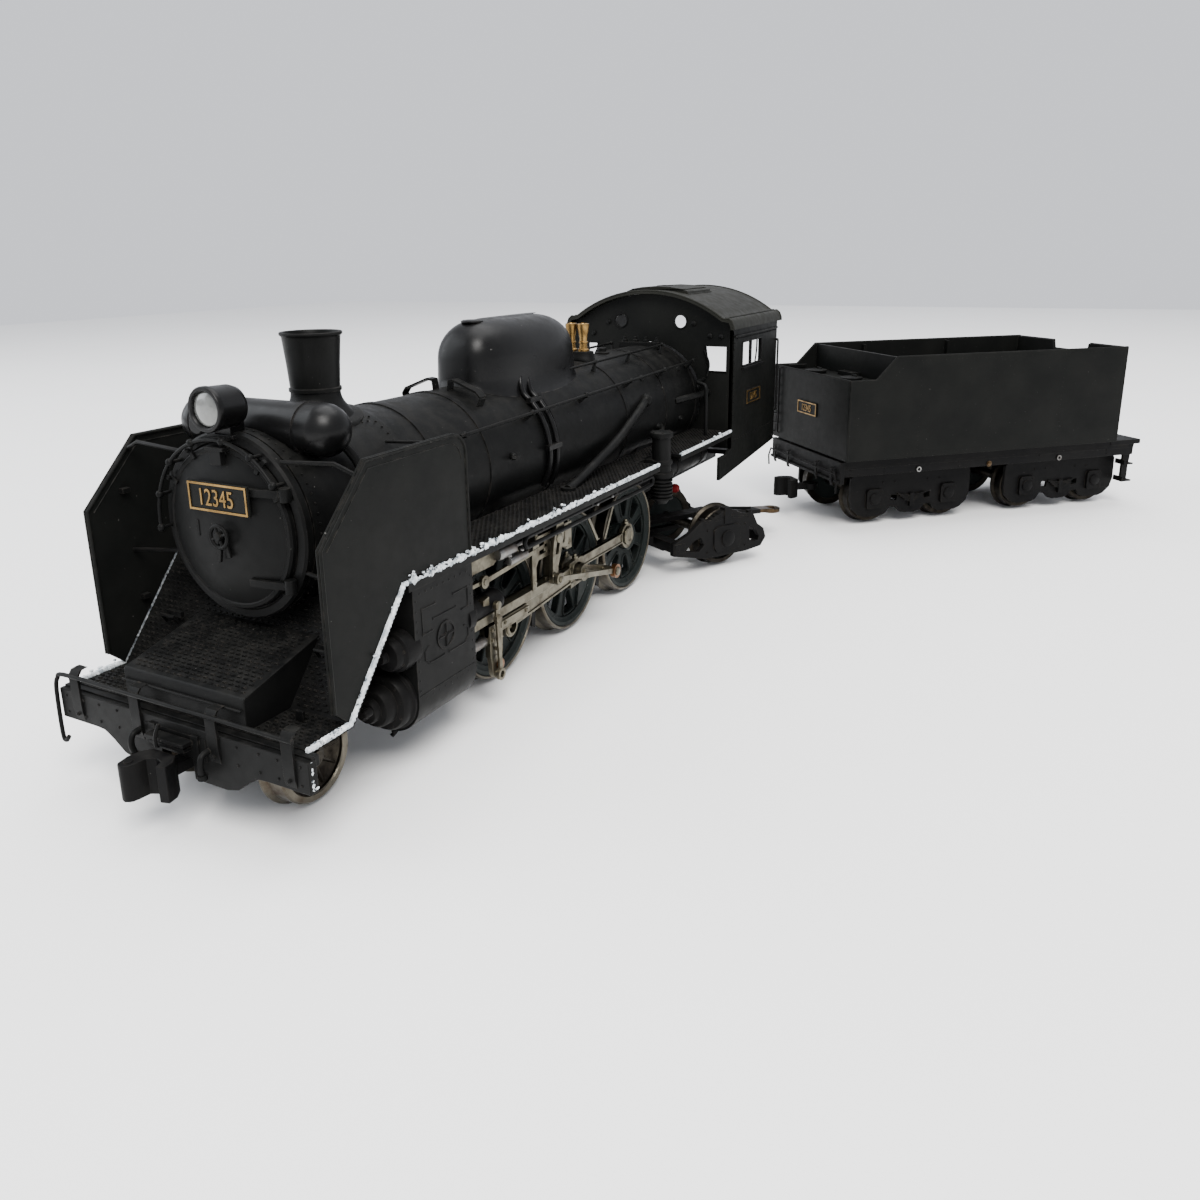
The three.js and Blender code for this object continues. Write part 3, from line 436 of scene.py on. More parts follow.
def painted(name, dark, light, rough=(0.36, 0.50), dust=0.10, dust_colour=(0.10, 0.095, 0.085), wear=0.12,
            metal_colour=(0.16, 0.14, 0.12), grain=0.5, specular=0.06):
    """Sprayed paint: cloudy tone, dust on what faces up, rubbed edges and a few pale specks."""
    n = Nodes(name)
    cloud = n.noise(0.12, 5)
    fine = n.noise(2.2, 6, 0.65)
    base = n.mix(n.ramp(cloud, [(0.35, 0.0), (0.7, 1.0)]), dark, light)
    settled = n.math("MULTIPLY", n.math("POWER", n.upward(), 1.6),
                     n.ramp(n.noise(0.5, 6, 0.6), [(0.42, 0.0), (0.8, 1.0)]))
    base = n.mix(n.math("MULTIPLY", settled, dust), base, dust_colour)
    specks = n.ramp(n.noise(2.3, 2, 0.5), [(0.76, 0.0), (0.78, 1.0)])
    base = n.mix(n.math("MULTIPLY", specks, 0.16), base, (0.32, 0.31, 0.29))
    rubbed = n.math("MULTIPLY", n.edges(0.22), n.ramp(n.noise(0.9, 5), [(0.45, 0.0), (0.62, 1.0)]))
    rubbed = n.math("MULTIPLY", rubbed, wear)
    base = n.mix(rubbed, base, metal_colour)
    low, high = rough
    roughness = n.make("ShaderNodeMapRange", {0: n.noise(0.8, 5), 1: 0.3, 2: 0.7, 3: low,
                                              4: high}).outputs[0]
    roughness = n.math("ADD", roughness, n.math("MULTIPLY", settled, 0.25))
    return n.finish(base, roughness, 0.0, [(fine, 0.35 * grain, 0.03), (n.noise(0.45, 3), 0.05, 0.1)],
                    Specular_IOR_Level=specular)


def metal(name, dark, light, rough=(0.25, 0.45), stretch=(1, 1, 1), stain=(0.10, 0.06, 0.04), stained=0.3,
          wear=0.5, metallic=1.0, scratches=0.3):
    """Bare or plated metal: fine brushing, dull patches, grime away from the edges."""
    n = Nodes(name)
    brush = n.noise(3.0, 6, 0.7, stretch)
    base = n.mix(n.ramp(n.noise(0.35, 5), [(0.3, 0.0), (0.7, 1.0)]), dark, light)
    grime = n.math("MULTIPLY", n.ramp(n.noise(0.55, 6, 0.62), [(0.47, 0.0), (0.68, 1.0)]), stained)
    base = n.mix(grime, base, stain)
    edge = n.math("MULTIPLY", n.edges(0.18), wear)
    base = n.mix(edge, base, tuple(min(1.0, c * 1.5) for c in light))
    low, high = rough
    roughness = n.make("ShaderNodeMapRange", {0: brush, 1: 0.25, 2: 0.75, 3: low, 4: high}).outputs[0]
    roughness = n.math("ADD", roughness, n.math("MULTIPLY", grime, 0.35))
    return n.finish(base, roughness, metallic, [(brush, scratches, 0.02), (n.noise(0.7, 3), 0.1, 0.06)])


BLACK = painted("black_paint", (0.0030, 0.0031, 0.0031), (0.0052, 0.0053, 0.0051))
SHEEN_BLACK = painted("gloss_black_paint", (0.0026, 0.0026, 0.0027), (0.0040, 0.0040, 0.0040),
                      rough=(0.27, 0.36), dust=0.05, grain=0.25, specular=0.15)
PLATE_BLACK = painted("plate_black_paint", (0.0042, 0.0045, 0.0042), (0.0068, 0.0070, 0.0064),
                      rough=(0.40, 0.50), dust=0.05, grain=0.6, specular=0.05)
ROOF = painted("roof_paint", (0.0070, 0.0072, 0.0054), (0.0110, 0.0110, 0.0086), rough=(0.46, 0.60),
               dust=0.25, dust_colour=(0.026, 0.025, 0.020), wear=0.05, specular=0.12)
CHASSIS = painted("blackened_metal", (0.0028, 0.0028, 0.0030), (0.0052, 0.0050, 0.0048), rough=(0.38, 0.55),
                  dust=0.08, wear=0.2, metal_colour=(0.10, 0.085, 0.065))
NICKEL = metal("nickel_silver", (0.084, 0.076, 0.055), (0.155, 0.142, 0.106), stained=0.6,
               stain=(0.040, 0.027, 0.016))
TYRE = metal("wheel_tyre", (0.070, 0.063, 0.048), (0.135, 0.123, 0.098), rough=(0.24, 0.44), stained=0.6,
             stain=(0.045, 0.026, 0.016))
WHEEL = painted("wheel_centre", (0.0090, 0.0115, 0.0110), (0.0160, 0.0195, 0.0185), rough=(0.38, 0.55),
                dust=0.12, wear=0.3, metal_colour=(0.12, 0.105, 0.085))
BRASS = metal("brass", (0.150, 0.086, 0.025), (0.270, 0.170, 0.062), stained=0.5,
              stain=(0.045, 0.024, 0.010))
PIN = metal("pin_brass", (0.110, 0.048, 0.019), (0.200, 0.100, 0.044), stained=0.5,
            stain=(0.045, 0.022, 0.012))
DULL_TYRE = metal("dull_tyre", (0.010, 0.009, 0.008), (0.040, 0.035, 0.027), rough=(0.3, 0.5), stained=0.7,
                  stain=(0.008, 0.006, 0.005), wear=0.1)
DARK_BRONZE = metal("dark_bronze", (0.040, 0.026, 0.014), (0.10, 0.066, 0.036), stained=0.6,
                    stain=(0.012, 0.010, 0.008))
STEEL = metal("gun_metal", (0.085, 0.085, 0.083), (0.200, 0.198, 0.190), stained=0.45)
RED = painted("red_paint", (0.12, 0.006, 0.008), (0.18, 0.012, 0.014))


def white_edge():
    """Hand-brushed white line with chips that show the black under it."""
    n = Nodes("white_edge_paint")
    chips = n.ramp(n.noise(1.4, 6, 0.72), [(0.555, 0.0), (0.60, 1.0)])
    tone = n.mix(n.ramp(n.noise(1.2, 5), [(0.35, 0.0), (0.65, 1.0)]), (0.30, 0.34, 0.37),
                 (0.74, 0.77, 0.78))
    base = n.mix(chips, tone, (0.035, 0.045, 0.055))
    return n.finish(base, 0.5, 0.0, [(n.noise(1.6, 5, 0.6), 0.8, 0.12), (chips, 0.5, 0.05)])


def lens():
    """Frosted lens over a reflector: a cloudy grey tone under a clear coat."""
    n = Nodes("lens_glass")
    cloud = n.noise(0.9, 4)
    base = n.mix(cloud, (0.060, 0.062, 0.058), (0.150, 0.154, 0.146))
    return n.finish(base, 0.16, 0.25, [(n.noise(1.8, 4), 0.5, 0.08)], Coat_Weight=0.8, Coat_Roughness=0.05)


WHITE = white_edge()
LENS = lens()


# ---- boiler and smokebox ----
def saddle_z(x, radius):
    return BOILER_Z + sqrt(max(radius * radius - x * x, 0.0))


def on_boiler(angle, y, r=BOILER_R):
    """A point on the boiler; the angle runs up from the left side, in degrees."""
    t = radians(angle)
    return Vector((r * cos(t), y, BOILER_Z + r * sin(t)))


def barrel(clearance, low, high):
    """A tool that clears the smokebox by a little, between two distances along the engine."""
    return Shape().drum(SMOKEBOX_R + clearance, low, high, "y", (0, 0, BOILER_Z), 64)


def boiler():
    bands = [(-31.5, 0.0), (-20.4, 0.0), (-2.0, 0.0), (20.8, 0.25), (36.5, 0.5), (50.6, 0.5)]
    profile = [(0, -54.2), (SMOKEBOX_R, -54.2), (SMOKEBOX_R, -36.75), (SMOKEBOX_R - 0.12, -36.5)]
    for y, grow in bands:
        r = BOILER_R + grow
        profile += [(r, y - 0.62), (r, y - 0.55), (r + 0.16, y - 0.5), (r + 0.16, y + 0.5), (r, y + 0.55),
                    (r, y + 0.62)]
    profile += [(BOILER_R + 0.5, 57.5), (0, 57.5)]
    shell = Shape().lathe(profile, "y", (0, 0, BOILER_Z), 96)
    pocket = Shape().box((-7.2, 7.2), (-7, 51.5), (15, 26.4))
    piece("boiler_shell", shell, BLACK, replaces=["boiler"], sharp=30, cut=[pocket])


def firebox_sides():
    firebox = Shape()
    for s in (1, -1):
        firebox.plate(rect(27, 51.4, 20.6, 28), "x", s * 7.4, s * 8.8)
        for y in grid(28.5, 50.5, 1.9):
            firebox.rivets([(s * 8.85, y, 21.4), (s * 8.85, y, 24.2)], 0.16)
    piece("firebox_sides", firebox, BLACK, bevel=0.1)


def smokebox_rivets():
    seams = Shape()
    for y in (-53.3, -37.5):
        for a in range(-60, 241, 6):
            seams.ball(on_boiler(a, y, SMOKEBOX_R + 0.02), 0.15, 6)
    for a in (62, 118):
        for y in grid(-52.5, -38, 0.95):
            seams.ball(on_boiler(a, y, SMOKEBOX_R + 0.02), 0.13, 6)
    piece("smokebox_rivets", seams, BLACK)


def smokebox_saddle():
    saddle = Shape()
    outline = [(-8.6, 22.4), (-5.2, 17.5), (-5.2, 14.2), (5.2, 14.2), (5.2, 17.5), (8.6, 22.4), (9.4, 24.6),
               (-9.4, 24.6)]
    saddle.plate(outline, "y", -46.6, -37.0)
    piece("smokebox_saddle", saddle, BLACK, bevel=0.15, cut=[barrel(0.02, -50, -30)])


def washout_plugs():
    washouts = Shape()
    for s in (1, -1):
        for angle, y in ((38, 30), (38, 38), (38, 46), (-14, 33), (-14, 43), (12, 52)):
            p = on_boiler(angle, y, BOILER_R + 0.42)
            p.x *= s
            washouts.ball(p, 0.62, 12)
            washouts.ball(p + (p - Vector((0, y, BOILER_Z))).normalized() * 0.45, 0.26, 8)
    piece("washout_plugs", washouts, BLACK)


def smokebox_front():
    z = BOILER_Z
    front = Shape()
    front.lathe([(0, -54.4), (SMOKEBOX_R, -54.4), (SMOKEBOX_R, -55.25), (SMOKEBOX_R - 0.25, -55.5),
                 (9.35, -55.55), (9.2, -55.4), (0, -55.4)], "y", (0, 0, z), 96)
    door = [(0, -57.35), (2.5, -57.3), (4.8, -57.05), (6.6, -56.7), (7.9, -56.35), (8.35, -56.2),
            (8.5, -56.3), (8.85, -56.25), (9.05, -56.0), (9.1, -55.5), (0, -55.5)]
    front.lathe(door, "y", (0, 0, z), 96)
    piece("smokebox_front", front, BLACK, sharp=32)


def smokebox_door_fittings():
    z = BOILER_Z
    fit = Shape()
    for up in (4.6, -5.3):
        edge = 9.3 * cos(asin(up / 9.3)) - 0.3
        fit.strip([(3.4, -56.93, z + up), (5.4, -56.85, z + up), (edge, -56.4, z + up),
                   (edge + 1.0, -56.2, z + up)], (0, 0, 0.85), (0, 0.5, 0))
        fit.lathe([(0, -0.75), (0.62, -0.75), (0.7, 0), (0.62, 0.75), (0, 0.75)], "z",
                  (edge + 0.95, -56.15, z + up), 16)
    hub = -57.3
    fit.lathe([(0.98, hub - 1.0), (1.2, hub - 1.12), (1.42, hub - 1.0), (1.42, hub - 0.8), (1.2, hub - 0.7),
               (0.98, hub - 0.8)], "y", (0.7, 0, z - 0.3), 32, closed=True)
    for k in range(4):
        a = radians(20 + 90 * k)
        fit.tube([(0.7, hub - 0.9, z - 0.3), (0.7 + 1.2 * cos(a), hub - 0.9, z - 0.3 + 1.2 * sin(a))], 0.17,
                 8)
    fit.lathe([(0, hub - 1.25), (0.42, hub - 1.2), (0.5, hub - 0.8), (0.5, hub), (0, hub)], "y",
              (0.7, 0, z - 0.3), 16)
    fit.strip([(0.65, hub - 0.55, z - 0.4), (-0.05, hub - 0.5, z - 3.3)], (0.55, 0, 0.1), (0, 0.35, 0))
    fit.strip([(0.8, hub - 0.3, z - 0.4), (1.35, hub - 0.3, z - 2.7)], (0.5, 0, 0.1), (0, 0.3, 0))
    fit.box((-3.65, -3.25), (-57.3, -56.8), (z - 0.9, z + 0.9))
    for a in (28, 52, 84, 118, 148):
        t = radians(a)
        out = Vector((cos(t), 0, sin(t)))
        side = Vector((-sin(t), 0, cos(t)))
        p = Vector((0, -55.9, z)) + out * 9.2
        fit.strip([p + out * 0.75, p + Vector((0, -0.45, 0)), p - out * 0.95 + Vector((0, -0.4, 0))],
                  side * 0.55, (0, 0.35, 0))
        fit.ball(p + out * 0.15 + Vector((0, -0.75, 0)), 0.3, 8)
    fit.box((-1.1, 1.5), (-57.2, -55.6), (z + 8.6, z + 9.0))
    fit.box((-0.6, 1.0), (-57.1, -56.4), (z + 7.1, z + 8.7))
    piece("smokebox_door_fittings", fit, BLACK, bevel=0.06)


def smokebox_hand_rail():
    rail = Shape()
    rail_r, rail_y = 9.75, -57.0

    def on_rail(angle):
        t = radians(angle)
        return Vector((rail_r * cos(t), rail_y, BOILER_Z + rail_r * sin(t)))

    rail.tube([on_rail(a) for a in range(35, 186, 5)], 0.22)
    for a in (35, 58, 82, 110, 136, 162, 185):
        rail.ball(on_rail(a), 0.46, 10)
        rail.tube([on_rail(a), on_rail(a) + Vector((0, 1.8, 0))], 0.2, 8)
    piece("smokebox_hand_rail", rail, BLACK)


def text_mesh(body, size, depth):
    """Raised generic digits as a mesh, in their own XY plane."""
    curve = bpy.data.curves.new("digits", "FONT")
    curve.body = body
    curve.size = size
    curve.extrude = depth / 2
    curve.align_x = "CENTER"
    curve.align_y = "CENTER"
    obj = bpy.data.objects.new("digits", curve)
    bpy.context.scene.collection.objects.link(obj)
    bpy.context.view_layer.update()
    mesh = bpy.data.meshes.new_from_object(obj.evaluated_get(bpy.context.evaluated_depsgraph_get()))
    bpy.data.objects.remove(obj)
    shape = Shape()
    shape.add([v.co.copy() for v in mesh.vertices], [list(p.vertices) for p in mesh.polygons])
    return shape


def number_plate(name, body, place, width=8.4, high=2.9, size=2.1):
    """A dark plate with a raised brass border and generic digits; it lies in its own XY plane."""
    back = Shape().box((-width / 2, width / 2), (-high / 2, high / 2), (-0.25, 0.05))
    piece(f"{name}_back", back.turned(place), PLATE_BLACK, body, bevel=0.03)
    w, h = width / 2 - 0.12, high / 2 - 0.12
    rim = Shape().plate(rect(-w, w, -h, h), "z", 0.0, 0.16,
                        holes=[rect(-w + 0.22, w - 0.22, -h + 0.22, h - 0.22)])
    text = text_mesh("12345", size, 0.14)
    centre = sum(text.verts, Vector()) / len(text.verts)
    low = min(v.y for v in text.verts)
    top = max(v.y for v in text.verts)
    for v in text.verts:
        v.x = (v.x - centre.x) * 0.82
        v.y -= (low + top) / 2
        v.z += 0.1
    rim.add(text.verts, text.faces)
    piece(f"{name}_brass", rim.turned(place), BRASS, body)


def facing(place, normal, up=(0, 0, 1)):
    """A matrix whose Z axis is the normal and whose Y axis is near up."""
    z = Vector(normal).normalized()
    x = Vector(up).cross(z).normalized()
    y = z.cross(x)
    return Matrix.Translation(place) @ Matrix((x, y, z)).transposed().to_4x4()


LAMP_X = 0.3
HEATER_Z = 40.7
CHIMNEY_Y = -41.5


def headlight():
    lamp = Shape()
    lamp_z = 43.5
    lamp.lathe([(0, -53.3), (1.3, -53.4), (2.0, -53.9), (2.25, -54.6), (2.32, -57.0), (2.4, -57.2),
                (2.4, -57.75), (2.3, -57.9), (1.98, -57.9), (1.88, -57.75), (1.82, -57.3), (0, -57.2)], "y",
               (LAMP_X, 0, lamp_z), 48)
    lamp.box((-1.2, 1.2), (-55.6, -53.6), (40.3, 42.0))
    lamp.box((-1.9, 1.9), (-56.0, -53.2), (40.25, 40.65))
    lamp.lathe([(0, -56.9), (0.9, -56.9), (1.0, -56.7), (1.0, -55.9), (0, -55.9)], "y", (-2.4, 0, 41.6), 24)
    piece("headlight", lamp, SHEEN_BLACK, bevel=0.05)
    glass = Shape()
    glass.lathe([(0, -57.83), (0.6, -57.81), (1.1, -57.76), (1.6, -57.66), (1.78, -57.55), (1.78, -57.38),
                 (0, -57.38)], "y", (LAMP_X, 0, lamp_z), 48)
    piece("headlight_lens", glass, LENS)


def feedwater_heater():
    heater = Shape()
    half = [(0, 11.5), (0.8, 11.42), (1.5, 11.15), (2.1, 10.7), (2.58, 10.05), (2.86, 9.3), (2.93, 8.85),
            (2.93, 8.7), (2.85, 8.65), (2.85, 0)]
    heater.lathe(half + [(r, -s) for r, s in reversed(half[:-1])], "x", (0, -49.8, HEATER_Z), 48)
    for x in (-6.4, 6.4):
        heater.lathe([(2.84, x - 0.45), (3.0, x - 0.4), (3.0, x + 0.4), (2.84, x + 0.45)], "x",
                     (0, -49.8, HEATER_Z), 48, closed=True)
    for low, high in ((-6.4, -5.2), (5.2, 6.4)):
        heater.plate(rect(-52.1, -47.5, 38.0, 41.0), "x", low, high)
    piece("feedwater_heater", heater, SHEEN_BLACK, sharp=30)
    pipes = Shape()
    for s in (1, -1):
        pipes.tube(smooth_path([(s * 7.6, -47.6, 39.8), (s * 8.4, -46.4, 38.2), (s * 9.4, -45.8, 36.4),
                                (s * 10.6, -45.6, 33.0), (s * 10.9, -45.6, 29.0), (s * 10.3, -45.4, 25.2)],
                               4), 0.5, 12)
    piece("heater_pipes", pipes, BLACK)


def chimney():
    stack = Shape()
    rings = []
    for k in range(9):
        t = k / 8
        flare = 2.84 + 1.5 * (1 - t) ** 2.6
        ring = []
        for i in range(48):
            a = 2 * pi * i / 48
            x, y = flare * cos(a), flare * sin(a)
            low = saddle_z(x, SMOKEBOX_R + 0.04)
            ring.append((x, CHIMNEY_Y + y, low + (43.4 - low) * t ** 0.8))
        rings.append(ring)
    for r, z in ((3.0, 43.45), (3.0, 43.8), (2.84, 43.9), (3.02, 46.6), (3.30, 49.6), (3.38, 49.75),
                 (3.52, 49.85), (3.55, 49.95), (3.55, 50.10), (3.46, 50.18), (3.15, 50.15), (3.0, 49.9),
                 (2.6, 46.0), (2.4, 44.5)):
        rings.append([(r * cos(2 * pi * i / 48), CHIMNEY_Y + r * sin(2 * pi * i / 48), z)
                      for i in range(48)])
    stack.rings(rings)
    piece("chimney", stack, BLACK, sharp=40)
    skirt = Shape().rings([[(x, y, saddle_z(x, SMOKEBOX_R + h)) for x, y in circle(0, CHIMNEY_Y, r, 40)]
                           for r, h in ((5.2, 0.0), (5.2, 0.22), (4.9, 0.32), (3.4, 0.34), (3.4, 0.0))])
    piece("chimney_skirt", skirt, BLACK, sharp=50)


DOME_BASE, DOME_TOP = 40.2, 49.35


def dome_ring(x, front, rear, z, on_barrel):
    """One closed line round the dome; the lowest ones follow the boiler barrel."""
    ring = []
    for i in range(72):
        c, s = cos(2 * pi * i / 72), sin(2 * pi * i / 72)
        u = x * copysign(abs(c) ** 0.62, c)
        v = (rear if s > 0 else front) * copysign(abs(s) ** 0.74, s)
        if on_barrel:
            height = saddle_z(u, BOILER_R + 0.04) + (z - DOME_BASE)
        else:
            height = max(z, saddle_z(u, BOILER_R + 0.3))
        ring.append((u, v, height))
    return ring


def dome():
    """The long steam and sand dome casing: a loaf with upright sides, a rounded shoulder and a flat back."""
    rings = []
    half_x, front, rear, shoulder = 6.2, 14.2, 14.8, 4.7
    turn = 0.44
    levels = [0.0, 0.03, 0.07, 0.13, 0.25, 0.44,
              *[turn + (1 - turn) * sin(radians(a)) for a in range(9, 91, 9)]]
    for t in levels:
        over = max(0.0, (t - turn) / (1 - turn))
        back = shoulder * (1 - sqrt(max(0.0, 1 - over * over)))
        lip = 0.28 if t < 0.02 else 0.28 * max(0.0, 1 - t * 14)
        rings.append(dome_ring(half_x - back + lip - 0.25 * t, front - back * 1.15 + lip - 0.5 * t,
                               rear - back * 1.5 + lip - 1.2 * t, DOME_BASE + (DOME_TOP - DOME_BASE) * t,
                               t < 0.12))
    rings.append(dome_ring((half_x - shoulder) * 0.55, (front - shoulder) * 0.8, (rear - shoulder) * 0.8,
                           DOME_TOP + 0.12, False))
    rings.append(dome_ring(0.05, (front - shoulder) * 0.6, (rear - shoulder) * 0.6, DOME_TOP + 0.16, False))
    piece("dome_casing", Shape().rings(rings), SHEEN_BLACK, replaces=["dome"], sharp=60)
    lids = Shape()
    lids.lathe([(0, 0), (1.5, 0), (1.6, 0.12), (1.6, 0.3), (1.3, 0.42), (0, 0.46)], "z", (0, -9.3, 49.0),
               32)
    piece("dome_sand_lid", lids, SHEEN_BLACK)
    step = Shape()
    for s in (1, -1):
        step.strip([on_boiler(90 - s * 7, -17.0, 10.0), on_boiler(90 - s * 7, -17.0, 11.35),
                    on_boiler(90 - s * 11, -17.1, 11.6), on_boiler(90 - s * 31, -17.1, 11.6),
                    on_boiler(90 - s * 36, -17.0, 11.3), on_boiler(90 - s * 37, -17.0, 10.0)], (0, 1.5, 0),
                   (0.0, 0.0, 0.3))
    piece("dome_step", step, BLACK, bevel=0.08)


SAFETY_Y = 21.8


def safety_valves():
    brass = Shape()
    for x in (-1.1, 1.2):
        brass.lathe([(0, 42.2), (1.0, 42.2), (1.0, 42.5), (0.75, 42.7), (0.66, 43.2), (0.66, 44.4),
                     (0.82, 45.2), (1.0, 46.1), (1.05, 46.5), (1.0, 46.8), (0.82, 46.85), (0.7, 46.6),
                     (0.5, 46.0), (0, 45.9)], "z", (x, SAFETY_Y, 0), 32)
        brass.lathe([(0.66, 43.5), (0.8, 43.6), (0.8, 43.8), (0.66, 43.9)], "z", (x, SAFETY_Y, 0), 32,
                    closed=True)
        brass.tube([(x, SAFETY_Y, 46.0), (x, SAFETY_Y, 46.55)], 0.2, 8)
    piece("safety_valves", brass, BRASS)


def turret():
    base = Shape()
    turns = [2 * pi * i / 40 for i in range(40)]
    rings = []
    for g, h in ((1.0, 0.3), (1.0, 0.6), (0.92, 0.9), (0.86, 1.5)):
        oval = [(3.5 * g * cos(a), SAFETY_Y + 2.0 * g * sin(a)) for a in turns]
        rings.append([(x, y, saddle_z(x, BOILER_R + h) if h < 1.2 else 42.2) for x, y in oval])
    base.rings(rings)
    base.lathe([(0, 0), (1.35, 0), (1.35, 0.25), (0.8, 0.35), (0.8, 1.0), (0, 1.1)], "z", (0, 31.0, 40.9),
               24)
    base.box((-4.2, 4.2), (46.4, 48.6), (40.4, 41.6))
    for x in (-3.4, -1.1, 1.1, 3.4):
        base.lathe([(0, 0), (0.6, 0), (0.6, 0.5), (0.3, 0.6), (0.3, 1.1), (0, 1.15)], "z", (x, 47.5, 41.5),
                   12)
    piece("turret_and_valve_base", base, BLACK, bevel=0.06)


def boiler_hand_rails():
    rails = Shape()
    for s in (1, -1):
        low = [Vector((s * 10.15, -27.5, 36.4)), Vector((s * 10.15, 50.5, 38.2))]
        rails.tube([low[0], (low[0] + low[1]) / 2, low[1]], 0.24)
        for y in (-26.6, -10, 6, 22, 36, 49.5):
            t = (y + 27.5) / 78
            p = low[0].lerp(low[1], t)
            rails.ball(p, 0.46, 10)
            foot = Vector((p.x * 0.86, p.y, BOILER_Z + (p.z - BOILER_Z) * 0.86))
            rails.tube([p, foot], [0.26, 0.5], 8)
        high = [Vector((s * 5.4, 3.5, 40.6)), Vector((s * 5.4, 46.0, 41.4))]
        rails.tube(high, 0.22)
        for y in (4, 18, 31, 45.5):
            p = high[0].lerp(high[1], (y - 3.5) / 42.5)
            rails.ball(p, 0.42, 10)
            rails.tube([p, Vector((p.x * 0.93, p.y, p.z - 1.6))], [0.22, 0.42], 8)
    piece("boiler_hand_rails", rails, BLACK)


def sand_pipes():
    sand = Shape()
    for s in (1, -1):
        for y in (-6.3, -4.2):
            line = [Vector((s * 5.2, y * 0.8, 42.4)), Vector((s * 5.9, y, 40.4))]
            line += [Vector((s * p.x, p.y, p.z)) for p in (on_boiler(a, y + (52 - a) * 0.006, 10.5)
                                                           for a in (52, 42, 30, 18, 6, -6, -18, -30))]
            sand.tube(smooth_path(line, 3), 0.42, 10)
        for a in (44, 4):
            p = on_boiler(a, -5.2, 10.75)
            sand.box((s * (p.x - 0.35), s * (p.x + 0.35)), (-7.1, -3.4), (p.z - 0.35, p.z + 0.35))
    piece("sand_pipes", sand, SHEEN_BLACK)


def boiler_side_pipes():
    thick = Shape()
    for s in (1, -1):
        route = [(s * 9.9, 28, 33.4), (s * 10.8, 25, 32.8), (s * 11.2, 20, 31.0), (s * 11.3, 14.5, 28.8),
                 (s * 11.6, 8, 27.1), (s * 12.0, 2, 25.8), (s * 12.4, -2.4, 25.0), (s * 12.5, -4.6, 24.7)]
        thick.tube(smooth_path(route, 5), 0.72, 14)
        thick.ball((s * 10.1, 28, 33.4), 1.15, 14)
        thick.lathe(rect(0.0, 1.15, -0.3, 0.3), "z", (s * 12.5, -4.4, 24.8), 20)
        thick.tube(smooth_path([(s * 10.4, 34, 28), (s * 12.2, 31, 27.2), (s * 14.6, 27.6, 26.8),
                                (s * 15.6, 24.2, 27.4)], 5), 0.4, 10)
        thick.tube(smooth_path([(s * 10.2, 40.5, 31.5), (s * 11.4, 43.5, 31.8), (s * 12.2, 47.5, 31.9),
                                (s * 12.4, 52.0, 31.9)], 5), 0.62, 12)
        thick.tube(smooth_path([(s * 11.6, 51.6, 34.4), (s * 12.4, 46.5, 34.4), (s * 14.4, 45.2, 34.0),
                                (s * 14.7, 45.0, 31.5), (s * 14.7, 45.0, 24.7)], 5), 0.36, 10)
        thick.ball((s * 10.25, -15.6, 31.6), 0.5, 12)
        thick.tube([(s * 10.0, -15.6, 31.6), (s * 11.0, -15.8, 31.4)], 0.27, 8)
        thick.strip([(s * 10.8, -16.9, 31.7), (s * 10.8, -14.3, 31.3)], (0, 0, 0.3), (0.3, 0, 0))
    piece("boiler_side_pipes", thick, BLACK)


def deflector_stays():
    vane = Shape()
    for s in (1, -1):
        vane.tube([(s * 8.0, -39.2, 37.6), (s * 16.9, -39.4, 38.2)], 0.2, 8)
        vane.tube([(s * 7.6, -55.2, 38.2), (s * 14.6, -55.0, 38.6), (s * 16.9, -54.6, 37.6)], 0.24, 8)
        vane.tube([(s * 9.6, -55.0, 26.5), (s * 16.9, -55.6, 25.8)], 0.24, 8)
    piece("deflector_stays", vane, BLACK)


boiler()
firebox_sides()
smokebox_rivets()
smokebox_saddle()
washout_plugs()
smokebox_front()
smokebox_door_fittings()
smokebox_hand_rail()
number_plate("front_number_plate", "locomotive", facing((0.5, -57.55, 34.2), (0, -1, 0)), 8.8, 3.3, 2.6)
headlight()
feedwater_heater()
chimney()
dome()
safety_valves()
turret()
boiler_hand_rails()
sand_pipes()
boiler_side_pipes()
deflector_stays()


# ---- deck, running boards, deflectors, beam ----
def tread_pads(shape, place, u0, u1, v0, v1, keep=lambda u, v: True, pitch=(0.94, 0.60), pad=(0.62, 0.28),
               high=0.18):
    """Raised staggered pads of a tread plate in a sheet's own UV plane, put in place by a matrix."""
    rows = grid(v0, v1, pitch[1])
    for j, v in enumerate(rows):
        for u in grid(u0, u1, pitch[0]):
            u += pitch[0] / 2 * (j % 2) - pitch[0] / 4
            if not (u0 + 0.3 < u < u1 - 0.3) or not keep(u, v):
                continue
            a, b = pad[0] / 2, pad[1] / 2
            ring = rect(-a, a, -b, b)
            shape.rings([[place @ Vector((u + x * g, v + y * g, h)) for x, y in ring]
                         for g, h in ((1, -0.03), (0.6, high))])


